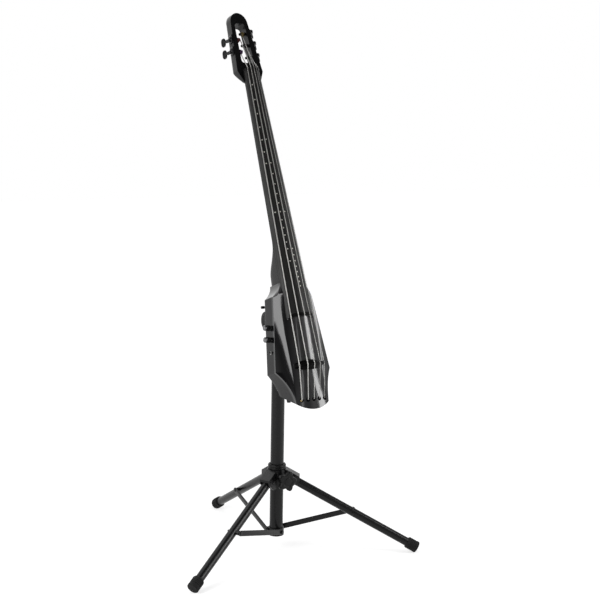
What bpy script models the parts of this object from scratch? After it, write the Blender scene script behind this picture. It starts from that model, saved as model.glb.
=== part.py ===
import math

import bmesh
import bpy
from mathutils import Matrix, Vector

for old in list(bpy.data.objects):
    bpy.data.objects.remove(old)

# fits between pieces
seat_gap = 0.0003
run_gap = 0.0004

# string line: w runs up the neck from the bridge, h stands out of the string plane
scale_length = 1.060
nut_pitch = 0.0103
bridge_pitch = 0.0234
nut_arch = 0.033
bridge_arch = 0.065
string_radii = (0.0018, 0.0016, 0.0012, 0.0009, 0.0007)
wraps = 3
wrap_points = 16
wrap_space = 0.0006
groove_ease = 1.12

# fingerboard and neck
board_length = 0.897
board_half_nut = 0.0288
board_half_end = 0.0505
board_thick = 0.006
board_lift = 0.0015
action_nut = 0.0031
action_end = 0.008
neck_depth_nut = 0.039
neck_depth_heel = 0.045
neck_angle = math.radians(6.85)
heel_run = 0.024
heel_fade = 0.135
nut_length = 0.006
nut_rise = 0.0004
rod_half = 0.003
rod_deep = 0.008
rod_start = 0.050
rod_end = 0.030
rod_cover = 0.0025

# slotted head, measured from the nut
head_foot = 0.043
head_corner = 0.004
head_corner_half = 0.0495
head_crown = 0.195
head_crown_half = 0.033
head_crown_rise = 0.039
head_front = 0.031
head_back_angle = 0.045
head_thick = 0.044
slot_low = 0.037
slot_high = 0.190
slot_half_low = 0.024
slot_half_high = 0.019
slot_round = 0.013
head_inset = 0.62
board_step_side = 0.002

# tuning machines: side, height over the nut, first wrap, way the wraps run
tuner_side = (-1, -1, 1, 1, 1)
tuner_rise = (0.091, 0.137, 0.161, 0.116, 0.069)
wrap_start = (-0.0190, -0.0068, 0.0045, 0.0095, 0.0195)
wrap_way = (1, -1, 1, 1, -1)
post_drop = 0.052
post_radius = 0.005
post_tip = 0.005
bushing_wall = 0.0012
bushing_deep = 0.013
plate_long = 0.034
plate_wide = 0.024
plate_thick = 0.0025
dome_radius = 0.010
dome_high = 0.009
worm_offset = 0.008
worm_high = 0.0125
worm_radius = 0.006
worm_back = 0.007
worm_front = 0.013
key_lean = math.radians(30.0)
key_shaft = 0.003
key_long = 0.034
key_wide = 0.019
key_thick = 0.0065
key_corner = 0.008
key_collar = 0.004
plate_corner = 0.008
dome_skin = 0.002
post_bevel = 0.001

# body: s runs up from the hip corner, d stands out of the rim plane
body_lean = math.radians(19.3)
body_depth = 0.064
joint_rise = 0.298
shoulder_rise = 0.254
shoulder_half = 0.0745
hip_half = 0.1035
tail_half = 0.0605
taper_length = 0.140
taper_power = 2.4
tail_lift_power = 2.5
spine_crown = 0.047
spine_half = 0.0565
spine_edge = 0.031
tail_edge = 0.036
spine_fade = 0.130
joint_edge = 0.0115
spine_land = 0.0008
spine_share = 0.8
spine_rest = 0.001
flank_hollow = 0.13
back_round = 0.003
tail_end = 0.1275
tail_mark = 0.026
tail_arc = 0.120
bridge_rise = 0.0155
bridge_height = 0.0868
tail_pitch = 0.0213
tail_hole_fall = 0.102
tail_hole_radius = 0.0042
tail_hole_deep = 0.026
tail_hole_lean = math.radians(15.0)

# bridge and pickup strip
bridge_half = 0.0515
bridge_tip = 0.056
bridge_foot = 0.016
bridge_blade = 0.003
bridge_toe = 0.003
bridge_over = 0.0004
bridge_waist = 0.12
bridge_crest = 0.9
pickup_thick = 0.003
pickup_grow = 0.0008

# controls on the side face
panel_rise = 0.112
panel_back = 0.025
volume_rise = 0.041
tone_rise = 0.001
switch_fall = 0.043
wall_thick = 0.010
hollow_half = 0.062
hollow_front = 0.012
hollow_deep = 0.036
cover_ledge = 0.004
cover_thick = 0.0025
hollow_corner = 0.006
cover_corner = 0.008
pot_radius = 0.0085
pot_long = 0.013
pot_bush = 0.0045
pot_nut = 0.0065
pot_nut_thick = 0.002
pot_shaft = 0.003
shaft_long = 0.013
knob_radius = 0.0095
knob_long = 0.0225
switch_long = 0.013
switch_wide = 0.009
switch_deep = 0.011
switch_bush = 0.005
switch_bore = 0.0034
lever_ball = 0.003
lever_stem = 0.0015
lever_tip = 0.0022
lever_long = 0.011
lever_rest = math.radians(12.0)

# output jack in the bottom face
jack_side = 0.048
jack_behind = 0.074
jack_flange = 0.0095
jack_flange_thick = 0.003
jack_sink = 0.009
jack_barrel = 0.006
jack_long = 0.030
jack_bore = 0.0034
jack_bore_deep = 0.026
jack_nose = 0.0075
jack_nose_long = 0.011

# tilt bracket
tilt_height = 0.821
tilt_rise = 0.1913
bracket_reach = 0.0551
bracket_half = 0.042
bracket_low = 0.046
bracket_high = 0.070
bracket_thick = 0.006
bracket_corner = 0.008
ear_corner = 0.006
ear_thick = 0.005
ear_radius = 0.018
ear_round = 0.009
pin_rise = 0.046
pin_forward = 0.0115
pin_radius = 0.003
pin_out = 0.062
pin_head = 0.005
pin_grip = 0.006
pin_cap = 0.004
tilt_block_half = 0.030
tilt_bolt = 0.005
bolt_head = 0.009
bolt_head_thick = 0.006
tilt_knob = 0.033
tilt_knob_thick = 0.019
tilt_knob_bevel = 0.0025

# stand
post_outer = 0.02345
post_wall = 0.0025
post_bottom = 0.057
spigot_long = 0.045
post_shoulder = 0.0377
shoulder_high = 0.006
shoulder_cone = 0.004
hinge_height = 0.260
hinge_reach = 0.050
leg_angle = math.radians(28.49)
leg_radius = 0.015
leg_wall = 0.0015
leg_start = 0.012
leg_eye = 0.013
leg_plug = 0.020
foot_reach = 0.4985
foot_radius = 0.0205
foot_long = 0.042
foot_end = 0.012
foot_flat = 0.0015
foot_groove = 0.0012
foot_band = 0.012
foot_groove_wide = 0.006
foot_lip = 0.004
hub_low = 0.228
hub_wall = 0.0102
yoke_reach = 0.080
yoke_low = 0.230
yoke_wall = 0.004
yoke_cover = 0.0086
yoke_lip = 0.016
bush_wall = 0.0078
bush_high = 0.0165
bush_bevel = 0.0025
hinge_pin = 0.004
hinge_pin_head = 0.0065
hinge_pin_cap = 0.002
brace_reach = 0.012
brace_height = 0.070
brace_on_leg = 0.250
brace_offset = 0.0275
brace_thick = 0.005
brace_eye = 0.0095
brace_head = 0.0065
brace_head_thick = 0.0035
boss_radius = 0.008
bolt_end = 0.004
bolt_end_out = 0.006
collar_wall = 0.0038
collar_floor = 0.0033
collar_high = 0.0235
lug_half = 0.010
lug_low = 0.011
lug_corner = 0.004
pin_root = 0.004
clamp_height = 0.268
clamp_boss = 0.014
clamp_boss_out = 0.048
clamp_screw = 0.005
clamp_stem = 0.010
star_near = 0.069
star_far = 0.087
star_mean = 0.031
star_wave = 0.0056
star_bevel = 0.003
star_lobes = 5
star_points = 30

foot_center_height = foot_radius * math.cos(leg_angle) - foot_flat
leg_length = (foot_reach - hinge_reach) / math.cos(leg_angle)
hinge_true = leg_length * math.sin(leg_angle) + foot_center_height
headings = (math.radians(210.0), math.radians(330.0), math.radians(90.0))
post_y = -foot_reach / 4

finishes = {
    "gloss": ((0.006, 0.006, 0.007), 0.08, 0.0),
    "satin": ((0.022, 0.022, 0.024), 0.38, 0.0),
    "board": ((0.030, 0.029, 0.028), 0.55, 0.0),
    "dark": ((0.012, 0.012, 0.012), 0.45, 0.0),
    "coat": ((0.014, 0.014, 0.015), 0.35, 0.3),
    "rubber": ((0.010, 0.010, 0.010), 0.75, 0.0),
    "steel": ((0.62, 0.62, 0.60), 0.28, 1.0),
    "chrome": ((0.70, 0.70, 0.72), 0.12, 1.0),
    "bone": ((0.08, 0.08, 0.08), 0.40, 0.0),
}


def finish(name, kind):
    colour, rough, metal = finishes[kind]
    made = bpy.data.materials.new(name + "_finish")
    made.use_nodes = True
    shader = made.node_tree.nodes["Principled BSDF"]
    shader.inputs["Base Color"].default_value = (*colour, 1.0)
    shader.inputs["Roughness"].default_value = rough
    shader.inputs["Metallic"].default_value = metal
    return made


def frame_empty(name, parent, place, turn=(0.0, 0.0, 0.0)):
    made = bpy.data.objects.new(name, None)
    bpy.context.collection.objects.link(made)
    made.parent = parent
    made.location = place
    made.rotation_euler = turn
    return made


def put(name, mesh, kind, parent, place=(0.0, 0.0, 0.0), turn=(0.0, 0.0, 0.0)):
    made = bpy.data.objects.new(name, mesh)
    bpy.context.collection.objects.link(made)
    made.parent = parent
    made.location = place
    made.rotation_euler = turn
    if kind:
        mesh.materials.clear()
        mesh.materials.append(finish(name, kind))
    return made


def closed_mesh(name, points, faces, smooth=True):
    mesh = bpy.data.meshes.new(name)
    mesh.from_pydata([tuple(p) for p in points], [], faces)
    work = bmesh.new()
    work.from_mesh(mesh)
    bmesh.ops.recalc_face_normals(work, faces=work.faces)
    work.to_mesh(mesh)
    work.free()
    if smooth:
        mesh.shade_smooth()
        mesh.set_sharp_from_angle(angle=math.radians(38.0))
    return mesh


def loft(name, rings, smooth=True):
    count = len(rings[0])
    points = [point for ring in rings for point in ring]
    last = (len(rings) - 1) * count
    faces = [tuple(range(count)), tuple(range(last, last + count))]
    for start in range(0, last, count):
        for k in range(count):
            n = (k + 1) % count
            faces.append((start + k, start + n, start + count + n, start + count + k))
    return closed_mesh(name, points, faces, smooth)


def turned(name, profile, sides=24, smooth=True):
    points = []
    rings = []
    for radius, height in profile:
        first = len(points)
        if radius == 0.0:
            points.append((0.0, 0.0, height))
            rings.append([first] * sides)
            continue
        for k in range(sides):
            a = math.tau * k / sides
            points.append((radius * math.cos(a), radius * math.sin(a), height))
        rings.append(list(range(first, first + sides)))
    pairs = list(zip(rings, rings[1:]))
    if profile[0][0] > 0.0:
        pairs.append((rings[-1], rings[0]))
    faces = []
    for low, high in pairs:
        for k in range(sides):
            n = (k + 1) % sides
            corner = [low[k], low[n], high[n], high[k]]
            face = tuple(dict.fromkeys(corner))
            if len(face) > 2:
                faces.append(face)
    return closed_mesh(name, points, faces, smooth)


def rounded(corners, radius, steps=3):
    outline = []
    count = len(corners)
    for k in range(count):
        here = Vector(corners[k])
        back = (Vector(corners[k - 1]) - here).normalized()
        ahead = (Vector(corners[(k + 1) % count]) - here).normalized()
        half = back.angle(ahead) / 2
        start = here + back * (radius / math.tan(half))
        middle = here + (back + ahead).normalized() * (radius / math.sin(half))
        first = start - middle
        sweep = math.pi - 2 * half
        turn = 1.0 if back.cross(ahead) < 0.0 else -1.0
        for j in range(steps + 1):
            a = turn * sweep * j / steps
            spun = Matrix.Rotation(a, 2) @ first
            outline.append((middle.x + spun.x, middle.y + spun.y))
    return outline


def prism(name, outline, low, high, axis, smooth=False):
    place = {
        "X": lambda p, t: (t, p[0], p[1]),
        "Y": lambda p, t: (p[0], t, p[1]),
        "Z": lambda p, t: (p[0], p[1], t),
    }[axis]
    rings = [[place(p, low) for p in outline], [place(p, high) for p in outline]]
    return loft(name, rings, smooth)


def rectangle(low_a, high_a, low_b, high_b):
    return [(low_a, low_b), (high_a, low_b), (high_a, high_b), (low_a, high_b)]


def rod(name, radius, low, high, sides=24):
    return turned(name, [(0.0, low), (radius, low), (radius, high), (0.0, high)], sides)


def combine(target, tool, mode):
    change = target.modifiers.new(mode, "BOOLEAN")
    change.operation = mode
    change.solver = "EXACT"
    change.object = tool
    bpy.context.view_layer.update()
    graph = bpy.context.evaluated_depsgraph_get()
    solid = bpy.data.meshes.new_from_object(target.evaluated_get(graph))
    target.modifiers.clear()
    target.data = solid
    bpy.data.objects.remove(tool)


def join(target, mesh, parent, place=(0.0, 0.0, 0.0), turn=(0.0, 0.0, 0.0)):
    combine(target, put("tool", mesh, None, parent, place, turn), "UNION")


def cut(target, mesh, parent, place=(0.0, 0.0, 0.0), turn=(0.0, 0.0, 0.0)):
    combine(target, put("tool", mesh, None, parent, place, turn), "DIFFERENCE")


def mix(share, first, second):
    return first + (second - first) * share


def ramp(value, low, high):
    return min(1.0, max(0.0, (value - low) / (high - low)))


def ease(share):
    return share * share * (3.0 - 2.0 * share)


def sagitta(radius, x):
    return radius - math.sqrt(radius * radius - x * x)


board_end = scale_length - board_length
cos_neck = math.cos(neck_angle)
sin_neck = math.sin(neck_angle)


def board_share(w):
    return (scale_length - w) / board_length


def board_half(w):
    return mix(board_share(w), board_half_nut, board_half_end)


def board_arch(w):
    return mix(1.0 - w / scale_length, nut_arch, bridge_arch)


def board_top(x, w):
    return -mix(board_share(w), action_nut, action_end) - sagitta(board_arch(w), x)


def board_under(x, w):
    return board_top(x, w) - board_thick


def board_stops(w):
    arch = board_arch(w)
    reach = math.asin(board_half(w) / arch)
    return [arch * math.sin(reach * (k / 5 - 1.0)) for k in range(11)]


def to_neck(s, d):
    up = s - bridge_rise
    out = d - bridge_height
    return up * cos_neck - out * sin_neck, up * sin_neck + out * cos_neck


joint_w = to_neck(joint_rise, 0.0)[0]
heel_half = board_half(joint_w)
board_end_rise = bridge_rise + board_end * cos_neck + board_under(0.0, board_end) * sin_neck
board_step = board_end_rise - board_thick


def board_under_rise(x, s):
    w = (s - bridge_rise) / cos_neck
    reach = min(abs(x), board_half(w))
    return bridge_height - w * sin_neck + board_under(reach, w) * cos_neck


stand = frame_empty("stand_axis", None, (0.0, post_y, hinge_true - hinge_height))
tilt = frame_empty("tilt_axis", stand, (0.0, 0.0, tilt_height), (-body_lean, 0.0, 0.0))
bass = frame_empty("bass_frame", tilt, (0.0, -(body_depth + bracket_reach), -tilt_rise))
neck_line = frame_empty("neck_frame", bass, (0.0, -bridge_height, bridge_rise), (-neck_angle, 0.0, 0.0))


def taper(s):
    return tail_half + (hip_half - tail_half) * max(0.0, 1.0 + s / taper_length) ** taper_power


def side_half(s):
    if s >= shoulder_rise:
        return mix(ramp(s, shoulder_rise, joint_rise), shoulder_half, heel_half)
    if s >= 0.0:
        return mix(s / shoulder_rise, hip_half, shoulder_half)
    return taper(s)


def spine_side(s):
    if s < 0.0:
        low = ease(ramp(-s, 0.0, tail_end))
        return mix(low, spine_half, tail_half - spine_land), mix(low, spine_edge, tail_edge)
    edge = mix(ramp(s, spine_fade, joint_rise), spine_edge, joint_edge)
    half = mix(ease(ramp(s, shoulder_rise, joint_rise)), spine_half, heel_half - spine_land)
    return half, edge


def spine_top(x, s):
    half, edge = spine_side(s)
    natural = spine_crown - (spine_crown - edge) * (x / half) ** 2
    if s < board_step:
        return natural
    return min(natural, board_under_rise(x, s) - board_lift)


def body_ring(s):
    half = spine_side(s)[0]
    inner = half * spine_share
    if s >= board_step:
        inner = min(board_half((s - bridge_rise) / cos_neck), half - spine_rest)
    side = [(x, spine_top(x, s)) for x in [inner * k / 4 for k in range(5)] + [half]]
    edge = side[-1][1]
    rim = side_half(s)
    rim_rise = edge * (1.0 - (1.0 - ramp(-s, 0.0, tail_end)) ** tail_lift_power)
    pull = 0.5 - flank_hollow * (1.0 - ease(ramp(s, 0.0, shoulder_rise)))
    pull_x = mix(pull, half, rim)
    pull_d = mix(pull, rim_rise, edge)
    for k in range(1, 5):
        t = k / 4
        a = (1 - t) ** 2
        b = 2 * t * (1 - t)
        side.append((a * half + b * pull_x + t * t * rim, a * edge + b * pull_d + t * t * rim_rise))
    for k in range(3):
        a = math.pi / 4 * k
        x = rim - back_round * (1 - math.cos(a))
        side.append((x, -body_depth + back_round * (1 - math.sin(a))))
    ring = side + [(-x, d) for x, d in reversed(side[1:])]
    return [(x, -d, s) for x, d in ring]


body_levels = [joint_rise, mix(0.65, shoulder_rise, joint_rise), mix(0.3, shoulder_rise, joint_rise)]
body_levels += [shoulder_rise, mix(0.35, shoulder_rise, board_step), mix(0.7, shoulder_rise, board_step)]
body_levels += [board_step + seat_gap, board_step - seat_gap, spine_fade * 1.4, spine_fade]
body_levels += [spine_fade / 2, 0.0]
body_levels += [-taper_length * t for t in (0.09, 0.2, 0.33, 0.48, 0.65, 0.82, 1.0)]
body_levels = sorted(set(body_levels), reverse=True)
body = put("body", loft("body", [body_ring(s) for s in body_levels]), "gloss", bass)

# the bottom face is level when the instrument leans, and bows across the width
level_frame = frame_empty("tail_frame", bass, (0.0, -tail_mark, -tail_end), (body_lean, 0.0, 0.0))
wide = hip_half
bow = [(wide * k / 10, sagitta(tail_arc, wide * k / 10)) for k in range(-10, 11)]
bow += [(wide, -taper_length), (-wide, -taper_length)]
cut(body, prism("tail_cut", bow, -2 * wide, 2 * wide, "Y"), level_frame)

tail_holes = []
for k in range(5):
    x = (k - 2) * tail_pitch
    mouth = Vector((x, -spine_top(x, -tail_hole_fall), -tail_hole_fall))
    inward = Vector((0.0, math.cos(tail_hole_lean), -math.sin(tail_hole_lean)))
    tail_holes.append((mouth, inward))
    bore = rod("tail_bore", tail_hole_radius, -tail_hole_deep, tail_hole_deep / 2, 16)
    turn = (-inward).to_track_quat("Z", "X").to_euler()
    cut(body, bore, bass, mouth, turn)

panel_slope = math.atan((hip_half - shoulder_half) / shoulder_rise)
panel = frame_empty(
    "panel_frame",
    bass,
    (-side_half(panel_rise), panel_back, panel_rise),
    (0.0, panel_slope - math.pi / 2, 0.0),
)
back_y = body_depth - panel_back
hollow_box = rectangle(-hollow_half, hollow_half, -wall_thick - hollow_deep, -wall_thick)
hollow = rounded(hollow_box, hollow_corner)
cut(body, prism("hollow", hollow, -hollow_front, back_y + wall_thick, "Y"), panel)
ledge_low = -wall_thick - hollow_deep - cover_ledge
ledge_high = -wall_thick + cover_ledge
ledge_half = hollow_half + cover_ledge
ledge = rounded(rectangle(-ledge_half, ledge_half, ledge_low, ledge_high), cover_corner)
cut(body, prism("ledge", ledge, back_y - cover_thick - seat_gap, back_y + wall_thick, "Y"), panel)
for rise, bush in ((volume_rise, pot_bush), (tone_rise, pot_bush), (-switch_fall, switch_bush)):
    hole = rod("bush_hole", bush + seat_gap, -2 * wall_thick, wall_thick)
    cut(body, hole, panel, (rise, 0.0, 0.0))

jack_place = (-jack_side, jack_behind, sagitta(tail_arc, jack_side))
cut(body, rod("jack_seat", jack_flange + seat_gap, -jack_sink, jack_sink), level_frame, jack_place)
jack_top = jack_sink + jack_long + seat_gap
cut(body, rod("jack_hole", jack_barrel + seat_gap, 0.0, jack_top), level_frame, jack_place)

cover_half = ledge_half - seat_gap
cover_box = rectangle(-cover_half, cover_half, ledge_low + seat_gap, ledge_high - seat_gap)
cover = prism("control_cover", rounded(cover_box, cover_corner), back_y - cover_thick, back_y, "Y")
put("control_cover", cover, "satin", panel)

jack_profile = [
    (0.0, jack_sink + jack_long),
    (jack_barrel, jack_sink + jack_long),
    (jack_barrel, jack_sink - seat_gap),
    (jack_flange, jack_sink - seat_gap),
    (jack_flange, jack_sink - jack_flange_thick),
    (jack_nose, jack_sink - jack_flange_thick),
    (jack_nose, jack_sink - jack_flange_thick - jack_nose_long),
    (jack_bore, jack_sink - jack_flange_thick - jack_nose_long),
    (jack_bore, jack_sink - jack_flange_thick - jack_nose_long + jack_bore_deep),
    (0.0, jack_sink - jack_flange_thick - jack_nose_long + jack_bore_deep),
]
put("output_jack", turned("output_jack", jack_profile, 16), "dark", level_frame, jack_place)

pot_profile = [
    (0.0, -wall_thick - seat_gap - pot_long),
    (pot_radius, -wall_thick - seat_gap - pot_long),
    (pot_radius, -wall_thick - seat_gap),
    (pot_bush, -wall_thick - seat_gap),
    (pot_bush, seat_gap),
    (pot_nut, seat_gap),
    (pot_nut, seat_gap + pot_nut_thick),
    (pot_shaft, seat_gap + pot_nut_thick),
    (pot_shaft, pot_nut_thick + shaft_long),
    (0.0, pot_nut_thick + shaft_long),
]
knob_seat = seat_gap + pot_nut_thick + seat_gap
knob_profile = [
    (0.0, knob_seat + knob_long),
    (knob_radius * 0.7, knob_seat + knob_long),
    (knob_radius * 0.92, knob_seat + knob_long * 0.95),
    (knob_radius, knob_seat + knob_long * 0.85),
    (knob_radius, knob_seat),
    (pot_shaft + run_gap, knob_seat),
    (pot_shaft + run_gap, pot_nut_thick + shaft_long + seat_gap),
    (0.0, pot_nut_thick + shaft_long + seat_gap),
]
for word, rise in (("volume", volume_rise), ("tone", tone_rise)):
    put(word + "_pot", turned("pot", pot_profile, 12), "steel", panel, (rise, 0.0, 0.0))
    put(word + "_knob", turned("knob", knob_profile, 20), "dark", panel, (rise, 0.0, 0.0))

switch_place = (-switch_fall, 0.0, 0.0)
switch_box = rectangle(-switch_long / 2, switch_long / 2, -switch_wide / 2, switch_wide / 2)
switch_top = -wall_thick - seat_gap
switch_case = prism("switch_case", switch_box, switch_top - switch_deep, switch_top, "Z")
switch_body = put("mode_switch", switch_case, "steel", panel, switch_place)
bush_rod = rod("switch_bush", switch_bush, switch_top - switch_deep / 2, pot_nut_thick, 20)
join(switch_body, bush_rod, panel, switch_place)
lever_pivot = pot_nut_thick - lever_ball - 2 * run_gap
cut(
    switch_body,
    rod("switch_bore", switch_bore, lever_pivot - lever_ball - run_gap, wall_thick, 20),
    panel,
    switch_place,
)
lever_profile = [(0.0, -lever_ball)]
for k in range(1, 5):
    a = math.pi * (k / 6 - 0.5)
    lever_profile.append((lever_ball * math.cos(a), lever_ball * math.sin(a)))
lever_profile += [(lever_stem, lever_ball), (lever_tip, lever_long - lever_tip)]
lever_profile += [(lever_tip * 0.7, lever_long), (0.0, lever_long)]
put(
    "switch_lever",
    turned("switch_lever", lever_profile, 12),
    "chrome",
    panel,
    (-switch_fall, 0.0, lever_pivot),
    (0.0, lever_rest, 0.0),
)


def back_plane(w):
    return (-body_depth - bridge_height + w * sin_neck) / cos_neck


def head_face(w):
    return -head_front - head_back_angle * (w - scale_length)


def head_half(w):
    rise = w - scale_length
    if rise > head_crown:
        return head_crown_half * math.sqrt(max(0.0, 1.0 - ((rise - head_crown) / head_crown_rise) ** 2))
    if rise > head_corner:
        return mix(ramp(rise, head_corner, head_crown), head_corner_half, head_crown_half)
    return mix(ramp(rise, -head_foot, head_corner), board_half(scale_length - head_foot), head_corner_half)


def neck_back(w):
    near = board_share(w)
    grip = board_top(0.0, w) - mix(near, neck_depth_nut, neck_depth_heel)
    fade = ease(ramp(w, joint_w + heel_run, joint_w + heel_run + heel_fade))
    flare = ease(ramp(w - scale_length, -head_foot, head_corner))
    return mix(flare, mix(fade, back_plane(w), grip), head_face(w) - head_thick)


def neck_ring(w, under_board):
    rise = w - scale_length
    wing = ramp(rise, -head_foot, -head_foot * 0.7)
    heel = 1.0 - ease(ramp(w, joint_w + heel_run, joint_w + heel_run + heel_fade))
    face = head_face(w)
    half = board_half(w)
    outer = half
    if wing > 0.0:
        outer = max(head_half(w), half + seat_gap) if under_board else head_half(w)
    if not under_board:
        half = outer * head_inset
    if under_board:
        top = [(x, board_under(x, w) - seat_gap) for x in board_stops(w)]
    else:
        top = [(half * (k / 5 - 1.0), face) for k in range(11)]
    edge = top[-1][1]
    shelf = min(face, edge - board_step_side / 2)
    step = mix(wing, edge - board_step_side, shelf)
    side = mix(wing, edge - 2 * board_step_side, shelf)
    if not under_board:
        step = side = face
    deep = neck_back(w)
    power = max(2.0 + 4.0 * heel, 2.0 + 6.0 * ease(wing))
    back = []
    for k in range(1, 12):
        a = math.pi * k / 12
        c = math.cos(a)
        x = outer * math.copysign(abs(c) ** (2 / power), c)
        back.append((x, side + (deep - side) * math.sin(a) ** (2 / power)))
    ring = top + [(half, step), (outer, side)] + back + [(-outer, side), (-half, step)]
    lean = (1.0 - ramp(w, joint_w + heel_run, joint_w + heel_run + heel_fade)) * math.tan(neck_angle)
    return [(x, -h, w - h * lean) for x, h in ring]


foot_w = (joint_rise + seat_gap - bridge_rise) / cos_neck
neck_levels = [foot_w, joint_w + heel_run]
neck_levels += [joint_w + heel_run + heel_fade * t for t in (0.15, 0.3, 0.45, 0.6, 0.75, 0.88, 1.0)]
neck_levels += [mix(0.35, joint_w, scale_length), mix(0.7, joint_w, scale_length)]
neck_levels += [scale_length - head_foot * t for t in (1.6, 1.0, 0.85, 0.7, 0.4, 0.1)]
nut_end = scale_length + nut_length + seat_gap
neck_rings = [neck_ring(w, True) for w in neck_levels + [nut_end]]
crown_w = scale_length + head_crown
head_levels = [nut_end + board_step_side, scale_length + slot_low, scale_length + head_crown / 2, crown_w]
head_levels += [crown_w + head_crown_rise * t for t in (0.3, 0.55, 0.75, 0.89, 0.97, 0.998)]
neck_rings += [neck_ring(w, False) for w in head_levels]
neck = put("neck", loft("neck", neck_rings), "satin", neck_line)

slot_corners = [(-slot_half_low, slot_low), (slot_half_low, slot_low)]
slot_corners += [(slot_half_high, slot_high), (-slot_half_high, slot_high)]
slot_outline = [(x, scale_length + z) for x, z in rounded(slot_corners, slot_round, 5)]
cut(neck, prism("slot", slot_outline, 0.0, 3 * head_thick + head_front, "Y"), neck_line)


def crown_bar(name, half, above, below, low, high):
    rings = []
    for w in (low, high):
        h = board_under(0.0, w) - seat_gap
        corners = rectangle(-half, half, -below, above)
        rings.append([(x, -(h + t), w) for x, t in corners])
    return loft(name, rings, False)


rod_low = joint_w + heel_run + rod_start
rod_high = scale_length - rod_end
rod_under = rod_cover + rod_deep
rod_slot = crown_bar("rod_slot", rod_half + run_gap, rod_cover, rod_under + run_gap, rod_low, rod_high)
cut(neck, rod_slot, neck_line)
rod_bar = crown_bar("truss_rod", rod_half, -rod_cover, rod_under, rod_low + run_gap, rod_high - run_gap)
put("truss_rod", rod_bar, "steel", neck_line)

board_rings = []
for k in range(7):
    w = mix(k / 6, board_end, scale_length)
    xs = board_stops(w)
    ring = [(x, -board_top(x, w), w) for x in xs]
    ring += [(x, -board_under(x, w), w) for x in reversed(xs)]
    board_rings.append(ring)
put("fingerboard", loft("fingerboard", board_rings), "board", neck_line)

nut_rings = []
for w in (scale_length + seat_gap, scale_length + nut_length):
    xs = board_stops(w)
    ring = [(x, sagitta(nut_arch, x) - nut_rise, w) for x in xs]
    ring += [(x, -board_under(x, w), w) for x in reversed(xs)]
    nut_rings.append(ring)
nut = put("nut", loft("nut", nut_rings), "bone", neck_line)

bridge_middle = bridge_rise - bridge_toe


def bridge_plan(x, grow):
    return (bridge_foot + grow) * math.sqrt(1.0 - (x / (bridge_tip + grow)) ** 2)


def strip_ring(x, low, high, grow):
    reach = bridge_plan(x, grow)
    ring = []
    for t in (-1.0, -0.3, 0.3, 1.0):
        s = bridge_middle + reach * t
        ring.append((x, -(spine_top(x, s) + low), s))
    return ring + [(x, y - (high - low), s) for x, y, s in reversed(ring)]


def bridge_ring(x):
    base = spine_top(x, bridge_middle) + pickup_thick + 2 * seat_gap
    fall = sagitta(bridge_arch, x)
    top = bridge_height - fall * cos_neck + bridge_over
    top_s = bridge_rise - fall * sin_neck
    foot = bridge_plan(x, 0.0)
    face = []
    for t in (0.0, bridge_waist, 0.3, 0.55, 0.85, 1.0):
        thin = mix((1.0 - ramp(t, bridge_waist, bridge_crest)) ** 2, bridge_blade, foot)
        face.append((thin, mix(t, base, top), mix(t, bridge_middle, top_s)))
    ring = [(x, -d, s + thin) for thin, d, s in face]
    return ring + [(x, -d, s - thin) for thin, d, s in reversed(face)]


bridge_xs = [bridge_half * (k / 7 - 1.0) for k in range(15)]
strip_high = seat_gap + pickup_thick
pickup_rings = [strip_ring(x, seat_gap, strip_high, pickup_grow) for x in bridge_xs]
put("pickup_strip", loft("pickup_strip", pickup_rings), "dark", bass)
bridge = put("bridge", loft("bridge", [bridge_ring(x) for x in bridge_xs]), "dark", bass)


def tuner_frame(k):
    w = scale_length + tuner_rise[k]
    slope = math.atan((head_corner_half - head_crown_half) / (head_crown - head_corner))
    side = tuner_side[k]
    out = Vector((side * math.cos(slope), 0.0, math.sin(slope)))
    back = Vector((0.0, 1.0, 0.0))
    across = back.cross(out)
    turn = Matrix((across, back, out)).transposed().to_4x4()
    return Matrix.Translation((side * head_half(w), post_drop, w)) @ turn


def string_route(k):
    radius = string_radii[k]
    x_bridge = (k - 2) * bridge_pitch
    x_nut = (k - 2) * nut_pitch
    mouth, inward = tail_holes[k]
    route = []
    for point in (mouth + inward * (tail_hole_deep * 0.8), mouth - inward * (radius + 2 * run_gap)):
        w, h = to_neck(point.z, -point.y)
        route.append(Vector((point.x, -h, w)))
    route.append(Vector((x_bridge, sagitta(bridge_arch, x_bridge), -bridge_blade)))
    route.append(Vector((x_nut, sagitta(nut_arch, x_nut), scale_length + nut_length + run_gap)))
    frame = tuner_frame(k)
    start = frame.inverted() @ route[-1]
    turn_radius = post_radius + run_gap + radius
    from_axis = Vector((start.x, start.y))
    bearing = math.atan2(from_axis.y, from_axis.x)
    open_angle = math.acos(turn_radius / from_axis.length)
    ways = []
    for sign in (1.0, -1.0):
        ways.append((math.sin(bearing + sign * open_angle), bearing + sign * open_angle, sign))
    height, angle, sign = min(ways)
    first = frame.inverted() @ Vector((wrap_start[k], post_drop, frame.translation.z))
    pitch = (2 * radius + wrap_space) * wrap_way[k] * tuner_side[k]
    loops = []
    for j in range(wraps * wrap_points + 1):
        share = j / wrap_points
        a = angle + sign * math.tau * share
        loops.append(Vector((turn_radius * math.cos(a), turn_radius * math.sin(a), first.z + pitch * share)))
    route += [frame @ point for point in loops]
    gap = min(
        (loops[i] - loops[j]).length
        for i in range(len(loops))
        for j in range(i + wrap_points // 2, len(loops))
    )
    print("string", k + 1, "least gap between its wraps", round((gap - 2 * radius) * 1000, 3), "mm")
    return route


def tube_curve(name, route, radius):
    line = bpy.data.curves.new(name, "CURVE")
    line.dimensions = "3D"
    line.bevel_depth = radius
    line.bevel_resolution = 1
    line.use_fill_caps = True
    path = line.splines.new("POLY")
    path.points.add(len(route) - 1)
    for point, place in zip(path.points, route):
        point.co = (*place, 1.0)
    return line


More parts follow.
